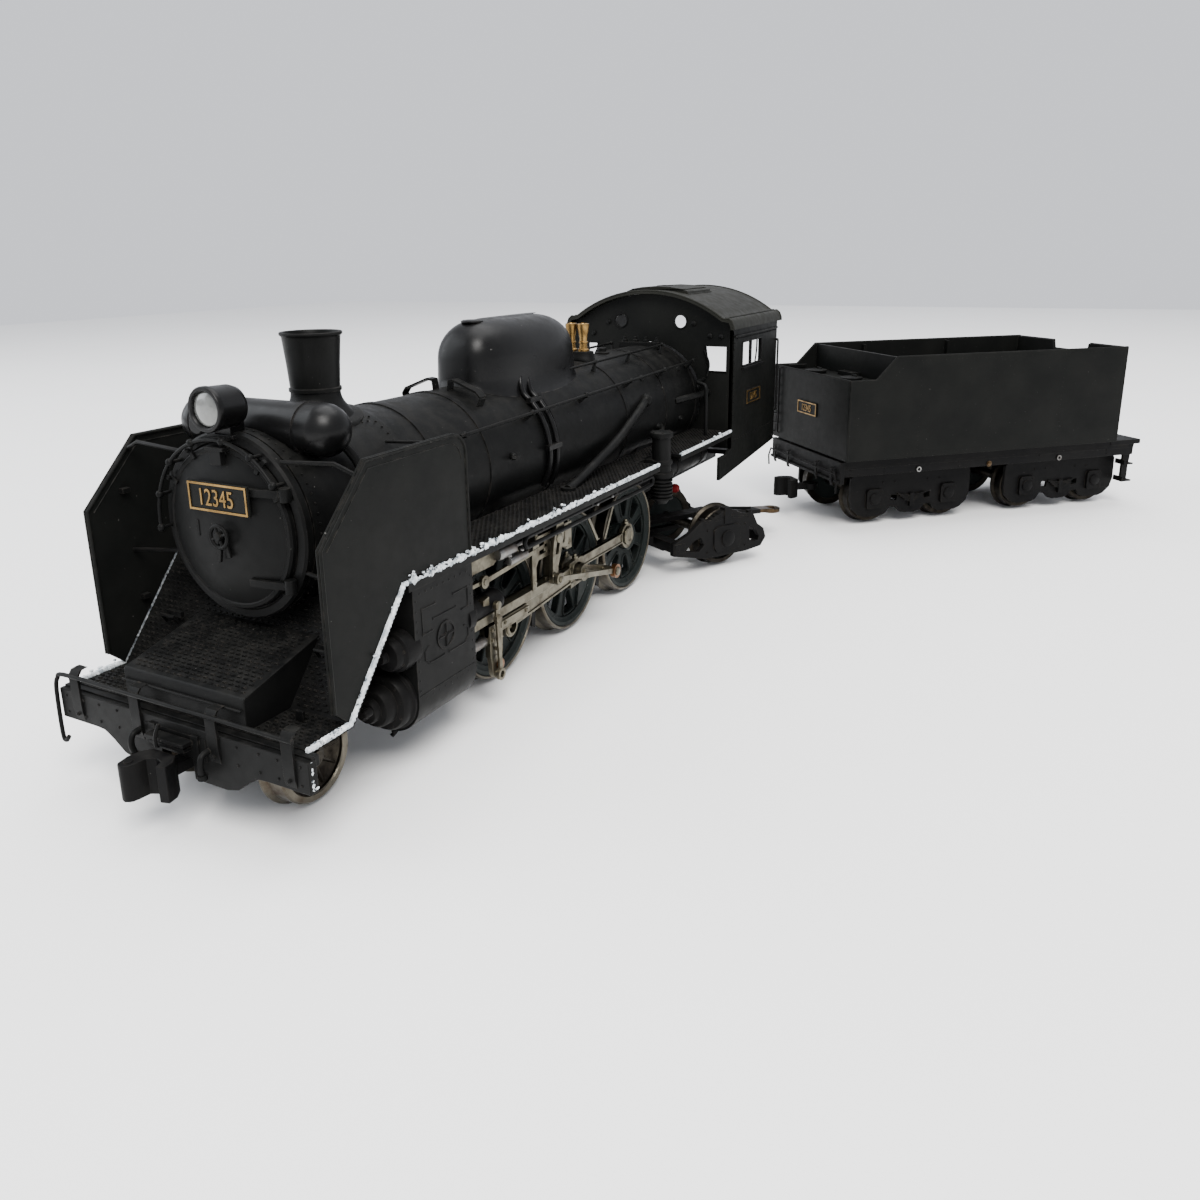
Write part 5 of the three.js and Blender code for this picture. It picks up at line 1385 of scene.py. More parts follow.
def driving_axles():
    for k in (-1, 0, 1):
        y = k * PITCH
        node = f"driver_axle_{k + 2}"
        axle = Shape().lathe([(0, -BACK - 0.9), (1.5, -BACK - 0.9), (1.5, -4.6), (1.3, -4.5), (1.3, 4.5),
                              (1.5, 4.6), (1.5, BACK + 0.9), (0, BACK + 0.9)], "x", (0, y, AXLE_Z), 32)
        if k == 0:
            teeth = 40
            for i in range(teeth):
                a = 2 * pi * i / teeth
                ring = [(7.8, a - 0.03), (7.8, a + 0.03), (7.2, a + 0.06), (7.2, a - 0.06)]
                axle.rings([[(x, y + r * cos(t + lean), AXLE_Z + r * sin(t + lean)) for r, t in ring]
                            for x, lean in ((-1.05, -0.02), (1.05, 0.02))])
            axle.sleeve(1.2, 7.3, -1.1, 1.1, "x", (0, y, AXLE_Z), 80)
            axle.sleeve(1.2, 3.2, -2.4, 2.4, "x", (0, y, AXLE_Z), 40)
        piece(f"{node}_shaft", axle, STEEL if k else PIN, node, replaces=[node], bevel=0.04)
        for side_name, s in SIDE.items():
            tyre, centre = driving_wheel(side_name, y)
            piece(f"{node}_tyre_{side_name}", tyre, TYRE, node, sharp=28)
            piece(f"{node}_wheel_{side_name}", centre, WHEEL, node, bevel=0.05)
            dy, dz = pin_place(side_name)
            pins = Shape()
            if k:
                pins.hub(s, ((0, FACE), (1.0, FACE), (1.0, 11.9), (1.6, 11.85), (1.6, 12.05), (1.4, 12.25),
                             (0.9, 12.25), (0.8, 12.1), (0, 12.1)), y + dy, dz, 24)
            else:
                ey, ez = return_pin(side_name)
                pins.disc(s, 1.0, FACE, 13.95, dy, dz, 24)
                pins.plate(link_outline((dy, dz), 1.35, (ey, ez), 0.9, 0.78), "x", s * 13.85, s * 14.65)
                pins.hub(s, ((0, 14.6), (0.7, 14.6), (0.7, 14.9), (0.45, 15.0), (0, 15.0)), dy, dz, 6)
                pins.hub(s, ((0, 14.5), (0.62, 14.5), (0.62, 16.2), (0.5, 16.3), (0.5, 17.0), (0.7, 17.02),
                             (0.7, 17.2), (0.5, 17.3), (0, 17.3)), ey, ez, 16)
            piece(f"{node}_pins_{side_name}", pins, NICKEL, node, bevel=0.05)


def link_outline(a, ra, b, rb, waist=0.7, steps=10):
    """The outline of a flat link with two round ends."""
    (y0, z0), (y1, z1) = a, b
    along = atan2(z1 - z0, y1 - y0)
    out = []
    for (y, z), r, turn in ((a, ra, pi), (b, rb, 0.0)):
        opening = acos(min(waist, 0.98))
        span = pi + 2 * opening
        start = along + turn - span / 2
        out += [(y + r * cos(start + span * i / steps), z + r * sin(start + span * i / steps))
                for i in range(steps + 1)]
    return out


LEVER_FOOT = (-4.65, -4.7)  # the combination lever's foot, from the wrist
LINK_FOOT = (-14.9, 14.6)
PIN_RING = (16.3, 17.05)


def side_rod(side, s):
    dy, dz = pin_place(side)
    rod = Shape()
    for i in (-1, 0):
        fore, aft = i * PITCH + dy, (i + 1) * PITCH + dy
        rod.plate(rect(fore + 1.2, aft - 1.2, dz - 0.85, dz + 0.85), "x", s * 11.15, s * 11.62)
        for h in (-0.85, 0.6):
            rod.plate(rect(fore + 1.4, aft - 1.4, dz + h, dz + h + 0.25), "x", s * 11.0, s * 11.8)
    for i in (-1, 0, 1):
        y = i * PITCH + dy
        rod.collar(s, 1.25, 2.15, 11.0, 11.8, y, dz, 36)
        rod.lathe([(0, 0), (0.5, 0), (0.5, 0.55), (0.3, 0.6), (0.3, 0.9), (0, 0.95)], "z",
                  (s * 11.4, y, dz + 1.95), 12)
    rod.hub(s, ((0, 10.95), (0.55, 10.95), (0.55, 11.9), (0.4, 11.98), (0, 11.98)), dy + 3.4, dz, 14)
    piece(f"side_rod_{side}", rod, NICKEL, f"side_rod_{side}", bevel=0.06)


def main_rod(side, s):
    """Drawn along its own length from the wrist, then turned to the crank pin."""
    dy, dz = pin_place(side)
    wy, wz = wrist(side)
    length = hypot(dy - wy, dz - wz)
    turn = Matrix.Translation((0, wy, wz)) @ Matrix.Rotation(atan2(dz - wz, dy - wy), 4, "X")
    blade = Shape()
    blade.plate(rect(0.4, length - 1.6, -1.1, 1.1), "x", s * 12.75, s * 13.2)
    for sign in (1, -1):
        blade.plate(rect(0.6, length - 1.5, sign * 1.32, sign * 0.98), "x", s * 12.6, s * 13.4)
    blade.collar(s, 0.45, 1.7, 12.6, 13.4, 0, 0, 32)
    big_end = [(-2.3, -2.0), (1.5, -2.0), (2.05, -1.4), (2.05, 1.4), (1.5, 2.0), (-2.3, 2.0)]
    blade.plate(shifted(big_end, length, 0), "x", s * 12.6, s * 13.4, holes=[circle(length, 0, 1.45, 32)])
    blade.collar(s, 1.45, 1.75, 12.55, 13.45, length, 0, 32)
    blade.lathe([(0, 0), (0.45, 0), (0.45, 0.5), (0.25, 0.55), (0.25, 0.9), (0, 0.92)], "z",
                (s * 13.0, length, 1.9), 12)
    blade.lathe([(0, 0), (0.4, 0), (0.4, 0.5), (0, 0.55)], "z", (s * 13.0, 0, 1.35), 12)
    blade.turned(turn).disc(s, 0.5, 12.6, 13.65, wy, wz, 16)
    piece(f"main_rod_{side}", blade, NICKEL, f"main_rod_{side}", bevel=0.06)


def crosshead(side, s):
    wy, wz = wrist(side)
    head = Shape()

    def slab(outline, low, high, holes=()):
        head.plate(shifted(outline, wy, wz), "x", s * low, s * high, holes=holes)

    slab(rect(-6.0, 3.6, 0.52, 2.1), 13.7, 15.1)
    slab(rect(-3.4, 3.5, 1.1, 1.9), 13.6, 15.4)
    slab([(-6.0, -2.2), (-3.2, -2.2), (-3.0, 2.1), (-6.0, 2.1)], 14.5, 15.3)
    neck = [(-1.5, 0.6), *arc(0, 0, 1.45, 200, 340, 12), (1.5, 0.6)]
    slab(neck, 13.7, 14.7, [circle(wy, wz, 0.85, 24)])
    head.hub(s, ((0.85, 14.6), (1.25, 14.6), (1.25, 14.8), (1.1, 14.95), (0.85, 14.95)), wy, wz, 28,
             closed=True)
    for u, v in ((-5.4, 1.5), (-4.0, 1.5), (-5.4, 0.1), (-4.0, 0.1), (-4.6, -1.3), (2.7, 1.5), (-2.4, 1.5)):
        head.hub(s, ((0, 15.0), (0.3, 15.0), (0.3, 15.5), (0.2, 15.57), (0, 15.57)), wy + u, wz + v, 8)
    arm = [(-5.9, -2.0), (-3.3, -2.0), (-3.5, -4.0), (-3.9, -4.9), (-4.3, -5.3), (-5.0, -5.3), (-5.5, -4.7),
           (-5.7, -3.6)]
    slab(arm, 14.6, 15.3)
    head.disc(s, 0.42, 14.6, 15.5, wy + LEVER_FOOT[0], wz + LEVER_FOOT[1], 20)
    piece(f"crosshead_{side}", head, NICKEL, f"crosshead_{side}", bevel=0.07)


def piston_rod(side, s):
    wy, wz = wrist(side)
    profile = [(0, wy - 20.5), (0.7, wy - 20.5), (0.7, wy - 4.6), (1.15, wy - 4.55), (1.15, wy - 3.75),
               (0, wy - 3.7)]
    rod = Shape().lathe(profile, "y", (s * CYLINDER_X, 0, wz), 24)
    piece(f"piston_rod_{side}", rod, STEEL, f"piston_rod_{side}", bevel=0.04)


def eccentric_rod(side, s):
    ey, ez = return_pin(side)
    fy, fz = LINK_FOOT[0] + ey - RETURN_THROW, LINK_FOOT[1] + ez - AXLE_Z
    rod = Shape()
    rod.plate(link_outline((ey, ez), 0.42, (fy, fz), 0.38, 0.95), "x", s * 16.45, s * 16.8)
    rod.collar(s, 0.62, 1.0, 16.35, 16.95, ey, ez, 28)
    rod.hub(s, ((0, 16.35), (0.9, 16.35), (0.9, 16.9), (0.7, 16.95), (0, 16.95)), fy, fz, 28)
    rod.hub(s, ((0, 16.9), (0.5, 16.9), (0.5, 17.1), (0.35, 17.2), (0, 17.2)), fy, fz, 6)
    piece(f"eccentric_rod_{side}", rod, NICKEL, f"eccentric_rod_{side}", bevel=0.05)
    end = Shape().collar(s, 0.72, 1.08, *PIN_RING, ey, ez, 28)
    piece(f"eccentric_rod_end_{side}", end, PIN, f"eccentric_rod_{side}")


def arm_pin(side, s):
    wy, wz = wrist(side)
    pin = Shape().hub(s, ((0, 14.5), (0.75, 14.5), (0.75, 15.5), (0.5, 15.6), (0, 15.6)), wy - 3.9,
                      wz - 3.7, 16)
    piece(f"arm_pin_{side}", pin, PIN, f"crosshead_{side}", bevel=0.06)


def expansion_link(side, s):
    link = Shape()
    curve = [LINK_FOOT, (-14.75, 16.2), (-14.3, 18.0), (-13.75, 19.8), (-13.3, 21.4), (-13.15, 22.9)]
    widths = (0.8, 0.75, 1.15, 1.35, 1.2, 0.75)
    outline = [(y - w, z) for (y, z), w in zip(curve, widths)]
    outline += reversed([(y + w, z) for (y, z), w in zip(curve, widths)])
    slot = [(y - 0.42, z) for y, z in curve[2:5]] + [(y + 0.42, z) for y, z in reversed(curve[2:5])]
    link.plate(outline, "x", s * 15.5, s * 16.1, holes=[slot])
    link.hub(s, ((0, 15.4), (0.75, 15.4), (0.75, 16.2), (0.55, 16.3), (0, 16.3)), -13.6, 20.2, 20)
    link.disc(s, 0.85, 15.4, 16.2, *LINK_FOOT, 20)
    piece(f"expansion_link_{side}", link, NICKEL, f"expansion_link_{side}", bevel=0.05)


def combination_lever(side, s):
    wy, wz = wrist(side)
    low = (wy + LEVER_FOOT[0], wz + LEVER_FOOT[1])
    top = (low[0] - 0.3, low[1] + 9.6)
    lever = Shape()
    lever.plate([(low[0] - 0.3, low[1] + 0.6), (low[0] + 0.3, low[1] + 0.6), (top[0] + 0.42, top[1] - 1.0),
                 (top[0] + 0.3, top[1] + 0.3), (top[0] - 0.3, top[1] + 0.3), (top[0] - 0.42, top[1] - 1.0)],
                "x", s * 15.65, s * 16.0)
    lever.collar(s, 0.44, 0.82, 15.58, 16.1, *low, 28)
    for t in (0.80, 0.99):
        p = (low[0] + (top[0] - low[0]) * t, low[1] + (top[1] - low[1]) * t)
        lever.hub(s, ((0, 15.55), (0.62, 15.55), (0.62, 16.15), (0.4, 16.25), (0, 16.25)), *p, 16)
    piece(f"combination_lever_{side}", lever, NICKEL, f"combination_lever_{side}", bevel=0.05)


def radius_rods():
    radius = Shape()
    radius.plate([(-31.5, 15.85), (-30.2, 15.6), (-30.2, 16.8), (-31.5, 16.55)], "x", 14.4, 15.3)
    radius.plate([(-31.2, 18.6), (-15.6, 19.4), (-15.6, 20.0), (-31.2, 19.3)], "x", 15.0, 15.35)
    radius.sleeve(0.4, 0.85, 14.9, 15.45, "x", (0, -31.0, 18.95), 24)
    radius.drum(0.42, 14.95, 15.55, "x", (0, -31.0, 18.95), 14)
    radius.box((14.6, 15.2), (-35.9, -31.6), (18.7, 19.25))
    radius.plate([(-16.6, 18.9), (-15.2, 18.9), (-15.0, 20.5), (-16.4, 20.5)], "x", 14.9, 15.35)
    piece_pair("radius_rod", radius, NICKEL, bevel=0.05)


def rods():
    for side, s in SIDE.items():
        side_rod(side, s)
        main_rod(side, s)
        crosshead(side, s)
        piston_rod(side, s)
        eccentric_rod(side, s)
        arm_pin(side, s)
        expansion_link(side, s)
        combination_lever(side, s)
    radius_rods()


cylinder_casings()
cylinder_rivets()
cylinder_covers()
slide_bars()
link_brackets()
reach_rods()
driving_axles()
rods()


# ---- main frame and trucks ----
def frame_plates():
    plates = Shape()
    outline = [(-64.4, 10.6), (-47, 10.6), (-45.5, 6.2), (24, 6.2), (24.5, 10), (33, 13.4), (78.5, 13.4),
               (78.5, 15), (25.5, 15), (25.5, 19), (-48, 19), (-50, 16.5), (-57.5, 11.6), (-64.4, 11.6)]
    lightening = [[(y - 3.2, 15.4), (y + 3.2, 15.4), (y + 2.6, 17.6), (y - 2.6, 17.6)]
                  for y in (-30.5, -10.3, 10.3)]
    slots = [Shape().box((-6, 6), (k * PITCH - 1.75, k * PITCH + 1.75), (5, AXLE_Z + 1.75))
             for k in (-1, 0, 1)]
    for s in (1, -1):
        plates.plate(outline, "x", s * 3.5, s * 4.3, holes=lightening)
    plates.box((-3.6, 3.6), (-64.2, -47.2), (10.7, 11.5))
    for y in (-44, -31.5, -12, 12, 23.2):
        plates.box((-3.6, 3.6), (y - 0.7, y + 0.7), (6.6, 18.8))
    plates.box((-3.6, 3.6), (26, 78), (13.6, 14.8))
    plates.box((-11.3, 11.3), (-46.4, -37.3), (14.3, 18.7))
    piece("main_frame", plates, CHASSIS, bevel=0.08, cut=slots)


def brake_hangers():
    small = Shape()
    for k in (-1, 0, 1):
        y = k * PITCH
        for s in (1, -1):
            for e in (1, -1):
                small.box((s * 3.6, s * 4.6), (y + e * 1.85, y + e * 2.9), (6.3, 12.6))
            small.tube([(s * 4.7, y - 9.2, 8.2), (s * 5.2, y - 8.0, 8.4), (s * 5.4, y - 7.4, 9.0)], 0.3, 8)
    for y in (-PITCH + 10.3, 10.3):
        for s in (1, -1):
            small.box((s * 5.6, s * 9.6), (y - 0.3, y + 0.3), (12.0, 12.6))
            small.plate([(y - 0.5, 4.8), (y + 0.5, 4.4), (y + 0.9, 9.6), (y + 0.4, 13.4), (y - 0.4, 13.4),
                         (y - 0.3, 9.6)], "x", s * 8.0, s * 9.4)
    piece("brake_hangers", small, CHASSIS, bevel=0.06)


def pivot_screws():
    pivots = Shape()
    for y, low, high in ((PONY_PIVOT_Y, 4.1, 6.3), (TRUCK_PIVOT_Y, 5.3, 12.2)):
        pivots.lathe([(0, low - 1.1), (0.9, low - 1.1), (1.0, low - 0.85), (2.1, low - 0.8), (2.1, low),
                      (1.2, low + 0.05), (1.2, high), (0, high)], "z", (0, y, 0), 28)
        pivots.box((-0.7, 0.7), (y - 0.14, y + 0.14), (low - 1.16, low - 1.0))
    pivots.drum(0.8, 8.5, 11.2, "z", (0, FRONT_COUPLER_Y, 0), 20)
    piece("pivot_screws", pivots, STEEL, bevel=0.05)


def keeper_plate():
    keeper = Shape().plate(rect(-33.5, 23.6, 5.0, 5.9), "x", -4.3, 4.3)
    piece("keeper_plate", keeper, CHASSIS, bevel=0.1, cut=[Shape().box((-1.5, 1.5), (-8.2, 8.2), (4, 7))])
    screws = Shape()
    for y in (-31, -10.8, 10.8, 22):
        for x in (-2.6, 2.6):
            screws.lathe([(0, 4.75), (0.6, 4.75), (0.75, 4.95), (0.75, 5.1), (0, 5.1)], "z", (x, y, 0), 20)
    piece("keeper_screws", screws, STEEL)


def carrying_wheels(node, place, centre, tread, spokes=10):
    """A pair of small wheels on their axle; centre is (along, z) in the group's own frame."""
    y, z = centre
    tyre = Shape()
    web = Shape()
    for s in (1, -1):
        wheel_tyre(tyre, s, y, z, tread, rim=1.0)
        web.hub(s, ((0, BACK + 0.2), (tread - 0.95, BACK + 0.2), (tread - 0.95, FACE - 0.5),
                    (tread - 1.25, FACE - 0.7), (1.9, FACE - 1.0), (1.5, FACE - 0.4), (1.3, FACE - 0.1),
                    (0.75, FACE), (0.7, FACE + 0.3), (0, FACE + 0.35)), y, z, 48)
        for k in range(spokes):
            a = 2 * pi * k / spokes
            c, t = cos(a), sin(a)
            web.tube([(s * (FACE - 0.9), y + 1.4 * c, z + 1.4 * t),
                      (s * (FACE - 0.7), y + (tread - 1.2) * c, z + (tread - 1.2) * t)], [0.3, 0.2], 6)
    tyre.drum(1.0, -BACK - 0.4, BACK + 0.4, "x", (0, y, z), 24)
    piece(f"{node}_tyres", tyre, TYRE if node == "pony_wheels" else DULL_TYRE, node, place,
          sharp=28, replaces=[node.replace("wheels", "wheelset")])
    piece(f"{node}_centres", web, DULL_TYRE if node == "pony_wheels" else WHEEL, node, place,
          sharp=32)


def pony_truck():
    arm = Shape()
    arm.sleeve(1.3, 2.6, 4.5, 5.7, "z", (0, PONY_PIVOT_Y, 0), 36)
    arm.plate([(-1.6, -38.4), (1.6, -38.4), (2.4, -50.5), (5.9, -53.6), (-5.9, -53.6), (-2.4, -50.5)], "z",
              4.5, 5.7, holes=[[(-0.9, -41), (0.9, -41), (1.2, -49.4), (-1.2, -49.4)]])
    for s in (1, -1):
        arm.plate([(-59.8, 4.6), (-53.6, 4.6), (-53.6, 7.4), (-55.4, 9.4), (-58.2, 9.4), (-59.8, 7.4)], "x",
                  s * 4.9, s * 5.9, holes=[circle(*PONY_AXLE, 1.05, 20)])
        arm.rivets([(s * 5.95, y, z) for y, z in ((-59.0, 5.4), (-54.4, 5.4), (-56.8, 8.8))], 0.2)
    arm.box((-5.4, 5.4), (-59.7, -58.7), (4.7, 6.4))
    arm.box((-5.4, 5.4), (-54.6, -53.7), (4.6, 5.8))
    piece("pony_truck_frame", arm, CHASSIS, "pony_truck", replaces=["pony_frame"], bevel=0.1)
    carrying_wheels("pony_wheels", ENGINE, PONY_AXLE, PONY_TREAD)


def trailing_truck():
    sides = Shape()
    outline = [(9.5, 5), (13, 4.2), (17, 3.2), (27, 3.2), (30.4, 3.6), (31.6, 5.2), (31.0, 7.0),
               (29.4, 8.2), (28.2, 10.6), (15.8, 10.6), (13, 8.6), (9.5, 7.2)]
    cuts = [[(12.2, 5.4), (15.4, 4.9), (16.6, 6.0), (15.8, 7.6), (14.0, 7.0)],
            [(27.6, 5.0), (29.6, 4.8), (29.9, 5.6), (28.8, 7.2), (27.4, 7.8)]]
    for s in (1, -1):
        sides.plate(outline, "x", s * 10.9, s * 11.9, holes=cuts)
        sides.plate([(19.4, 4.2), (24.6, 4.2), (25.2, 5.2), (25.2, 8.4), (24.4, 9.0), (19.6, 9.0),
                     (18.8, 8.4), (18.8, 5.2)], "x", s * 11.7, s * 12.15)
        sides.hub(s, ((0, 12.0), (1.5, 12.0), (1.5, 12.4), (1.2, 12.55), (0, 12.6)), *TRUCK_AXLE, 28)
        for k in range(5):
            low = 9.9 + 0.36 * k
            sides.strip([(s * 11.3, 16.6 + k * 0.8, low), (s * 11.3, 22, low + 0.7),
                         (s * 11.3, 27.4 - k * 0.8, low)], (1.3, 0, 0), (0, 0, 0.3))
        sides.box((s * 10.6, s * 12.1), (21.2, 22.8), (9.4, 12.4))
        for y in (16.4, 27.6):
            sides.box((s * 10.9, s * 11.7), (y - 0.4, y + 0.4), (8.0, 11.0))
        sides.rivets([(s * 11.95, y, z) for y, z in ((10.6, 6.1), (17.4, 4.4), (17.4, 8.6), (26.4, 4.4),
                                                     (26.4, 8.6), (30.8, 4.6))], 0.22)
    sides.box((-12, 12), (9.9, 12.1), (5.3, 7.1))
    sides.box((-11.5, 11.5), (29.9, 31.3), (4.4, 6.3))
    sides.plate([(-6, 11.5), (6, 11.5), (6, 24.4), (4.8, 24.4), (4.4, 14.5), (-4.4, 14.5), (-4.8, 24.4),
                 (-6, 24.4)], "z", 4.25, 5.15)
    sides.plate([(-2.2, 1.6), (2.2, 1.6), (5.2, 10.0), (-5.2, 10.0)], "z", 5.7, 7.1,
                holes=[[(-1.0, 4.0), (1.0, 4.0), (2.2, 8.4), (-2.2, 8.4)]])
    sides.sleeve(1.35, 2.6, 5.6, 7.2, "z", (0, 0, 0), 36)
    piece("trailing_truck_frame", sides, CHASSIS, "trailing_truck", TRUCK, replaces=["trailing_frame"],
          bevel=0.08)
    carrying_wheels("trailing_wheels", TRUCK, TRUCK_AXLE, CARRYING_TREAD)


def drawbar():
    bar = Shape()
    centre_line = [(-1.0, 8.65), (26.5, 8.65), (33.5, 7.1), (39.5, 6.75)]
    bar.strip([(0, y, z) for y, z in centre_line], (3.2, 0, 0), (0, 0, 0.85))
    bar.sleeve(1.3, 2.3, 8.2, 9.1, "z", (0, 0, 0), 32)
    bar.tube([(0.0, 26, 9.15), (0.0, 38, 7.4)], 0.3, 8)
    tip = Shape()
    tip.strip([(0, 39.3, 6.8), (0, 43.0, 6.35)], (3.0, 0, 0), (0, 0, 0.75))
    tip.sleeve(0.9, 1.9, 5.85, 6.6, "z", (0, 43.6, 0), 32)
    piece("drawbar", bar, CHASSIS, "drawbar", TRUCK, bevel=0.06)
    piece("drawbar_tip", tip, DARK_BRONZE, "drawbar", TRUCK, bevel=0.06)


# ---- cab ----
CAB_WINDOW = [(57.6, 36.7), (57.9, 36.5), (68.7, 36.5), (69.0, 36.8), (69.0, 40.9), (68.7, 41.2),
              (57.9, 41.2), (57.6, 40.9)]


def roof_line(half, inset, steps=16):
    """The roof arc from one eave to the other, at a distance inside the outer skin."""
    r = ROOF_R - inset
    return [(half - 2 * half * i / steps, 24.6 + sqrt(r * r - (half - 2 * half * i / steps) ** 2))
            for i in range(steps + 1)]


def cab_shell():
    walls = Shape()
    barrel = BOILER_R + 0.8
    foot = degrees(asin((21.0 - BOILER_Z) / barrel))
    wall = [(17.2, 21.0), (17.2, 43.7), (17.15, 44.5), (16.75, 45.3), *roof_line(15.3, 0.62),
            (-16.75, 45.3), (-17.15, 44.5), (-17.2, 43.7), (-17.2, 21.0),
            *arc(0, BOILER_Z, barrel, 180 - foot, foot, 40)]
    holes = [circle(s * 6.4, 45.3, 1.3, 24) for s in (1, -1)]
    for s in (1, -1):
        window = [(12.4, 36.0), (16.0, 36.0), (16.0, 40.6), (15.7, 40.9), (12.0, 40.9), (11.7, 40.6)]
        holes.append([(s * x, z) for x, z in window])
    walls.plate(wall, "y", CAB_FRONT, CAB_FRONT + 0.6, holes=holes)
    side = [(46.4, 15.8), (79.5, 18.4), (79.5, 44.9), (CAB_FRONT, 44.9), (CAB_FRONT, 21), (50.5, 20.2),
            (46.4, 20.2)]
    for s in (1, -1):
        walls.plate(side, "x", s * 16.6, s * 17.2, holes=[CAB_WINDOW])
    piece("cab_shell", walls, PLATE_BLACK, bevel=0.05)


def cab_trim():
    trim = Shape()
    for s in (1, -1):
        x = s * 17.22
        frame_line = [Vector((x, y, z)) for y, z in CAB_WINDOW]
        trim.tube(frame_line, 0.17, 8, closed=True)
        trim.tube([(s * 16.9, 63.2, 36.5), (s * 16.9, 63.2, 41.2)], 0.34, 8)
        trim.tube(smooth_path([(s * 17.0, 66.0, 36.4), (s * 17.15, 66.3, 38.6), (s * 17.0, 67.0, 41.2)], 4),
                  0.16, 8)
        trim.box((s * 17.1, s * 17.75), (57.2, 69.4), (35.9, 36.3))
        trim.box((s * 17.1, s * 17.5), (53.0, 79.2), (42.4, 42.75))
        for y in grid(54, 79, 1.1):
            trim.ball((x, y, 42.1), 0.14, 6)
        for y in grid(53.5, 79, 1.25):
            trim.ball((x, y, 22.4), 0.14, 6)
        for z in grid(23, 42, 1.25):
            trim.ball((x, 53.0, z), 0.14, 6)
        trim.tube([(s * 17.7, 78.9, 25), (s * 17.7, 78.9, 40)], 0.22, 8)
        for z in (25, 40):
            trim.tube([(s * 17.1, 78.9, z), (s * 17.75, 78.9, z)], 0.26, 8)
        front = [(s * px, CAB_FRONT - 0.05, pz) for px, pz in ((12.2, 35.9), (16.1, 35.9), (16.1, 40.8),
                                                               (11.7, 40.8))]
        trim.tube(front, 0.2, 8, closed=True)
        ring = [Vector((s * 6.4 + 1.35 * cos(a), CAB_FRONT - 0.05, 45.3 + 1.35 * sin(a)))
                for a in (2 * pi * i / 24 for i in range(24))]
        trim.tube(ring, 0.17, 8, closed=True)
        for px, pz in ((14.9, 42.6), (12.6, 42.7), (9.2, 45.0)):
            trim.lathe([(0, CAB_FRONT), (0.5, CAB_FRONT), (0.5, CAB_FRONT - 0.25), (0.3, CAB_FRONT - 0.4),
                        (0, CAB_FRONT - 0.42)], "y", (s * px, 0, pz), 12)
        trim.tube(smooth_path([(s * 11.5, CAB_FRONT - 0.3, 40), (s * 12.6, CAB_FRONT - 0.35, 37.5),
                               (s * 12.2, CAB_FRONT - 0.3, 35)], 4), 0.2, 8)
        trim.box((s * 8, s * 16.6), (52.6, 78.4), (19.65, 20.55))
        trim.ball((s * 17.3, 78.0, 19.4), 0.35, 10)
    piece("cab_trim", trim, BLACK, bevel=0.04)


def cab_floor():
    floor = Shape().box((-16.5, 16.5), (58.6, 78.4), (19.7, 20.5))
    for y in grid(59.2, 78, 1.6):
        floor.box((-16.3, 16.3), (y - 0.68, y + 0.68), (20.4, 20.62))
    piece("cab_floor_boards", floor, ROOF, bevel=0.05)


def cab_number_plates():
    for side_name, s in SIDE.items():
        number_plate(f"cab_number_plate_{side_name}", "locomotive",
                     facing((s * 17.35, 64.5, 30.0), (s, 0, 0)))


def backhead():
    head = Shape()
    head.lathe([(0, 58.4), (9.6, 58.4), (9.9, 58.1), (9.9, 57.0), (0, 57.0)], "y", (0, 0, BOILER_Z), 64)
    head.lathe([(0, 59.2), (1.6, 59.2), (1.9, 58.9), (1.9, 58.3), (0, 58.3)], "y", (0, 0, 27.2), 32)
    head.box((-2.3, 2.3), (58.4, 58.9), (25.6, 29.0))
    head.tube(smooth_path([(-3.6, 59.4, 34.6), (0, 60.6, 35.2), (4.6, 59.6, 33.4)], 5), 0.35, 8)
    head.tube(smooth_path([(-6.2, 58.6, 24.0), (-6.6, 59.4, 28.0), (-5.8, 59.2, 33.2)], 5), 0.3, 8)
    head.tube(smooth_path([(6.0, 58.6, 24.0), (6.6, 59.4, 28.0), (5.8, 59.2, 33.8)], 5), 0.3, 8)
    piece("backhead", head, BLACK, bevel=0.06)


def gauge_set():
    gauges = Shape()
    for x, z in ((-4.2, 37.0), (0.2, 38.2), (4.4, 37.0)):
        gauges.lathe([(0, 59.0), (1.1, 59.0), (1.2, 58.8), (1.2, 58.2), (0, 58.2)], "y", (x, 0, z), 28)
    for x in (-7.4, 7.4):
        gauges.tube([(x, 59.0, 31.2), (x, 59.0, 34.4)], 0.3, 8)
        gauges.ball((x, 59.0, 31.2), 0.45, 10)
        gauges.ball((x, 59.0, 34.4), 0.45, 10)
    piece("gauges", gauges, BRASS, bevel=0.04)


def cab_seats():
    seats = Shape()
    for s in (1, -1):
        seats.box((s * 11.6, s * 15.8), (66.5, 71.5), (26.6, 28.0))
        seats.box((s * 11.9, s * 15.5), (66.9, 71.1), (20.5, 26.7))
    piece("cab_seats", seats, CHASSIS, bevel=0.2)


ROOF_START, ROOF_END = 50.3, 80.0
ROOF_OUTER = [(17.9, 44.0), (17.85, 44.7), (17.5, 45.6), (16.9, 46.1), *roof_line(15.8, 0.0, 24),
              (-16.9, 46.1), (-17.5, 45.6), (-17.85, 44.7), (-17.9, 44.0)]


def roof():
    inner = [(17.3, 44.0), (17.2, 44.6), (16.9, 45.3), *roof_line(15.4, 0.6, 24), (-16.9, 45.3),
             (-17.2, 44.6), (-17.3, 44.0)]
    skin = Shape().plate([*ROOF_OUTER, *reversed(inner)], "y", ROOF_START, ROOF_END)
    piece("cab_roof", skin, ROOF, bevel=0.06, sharp=50)


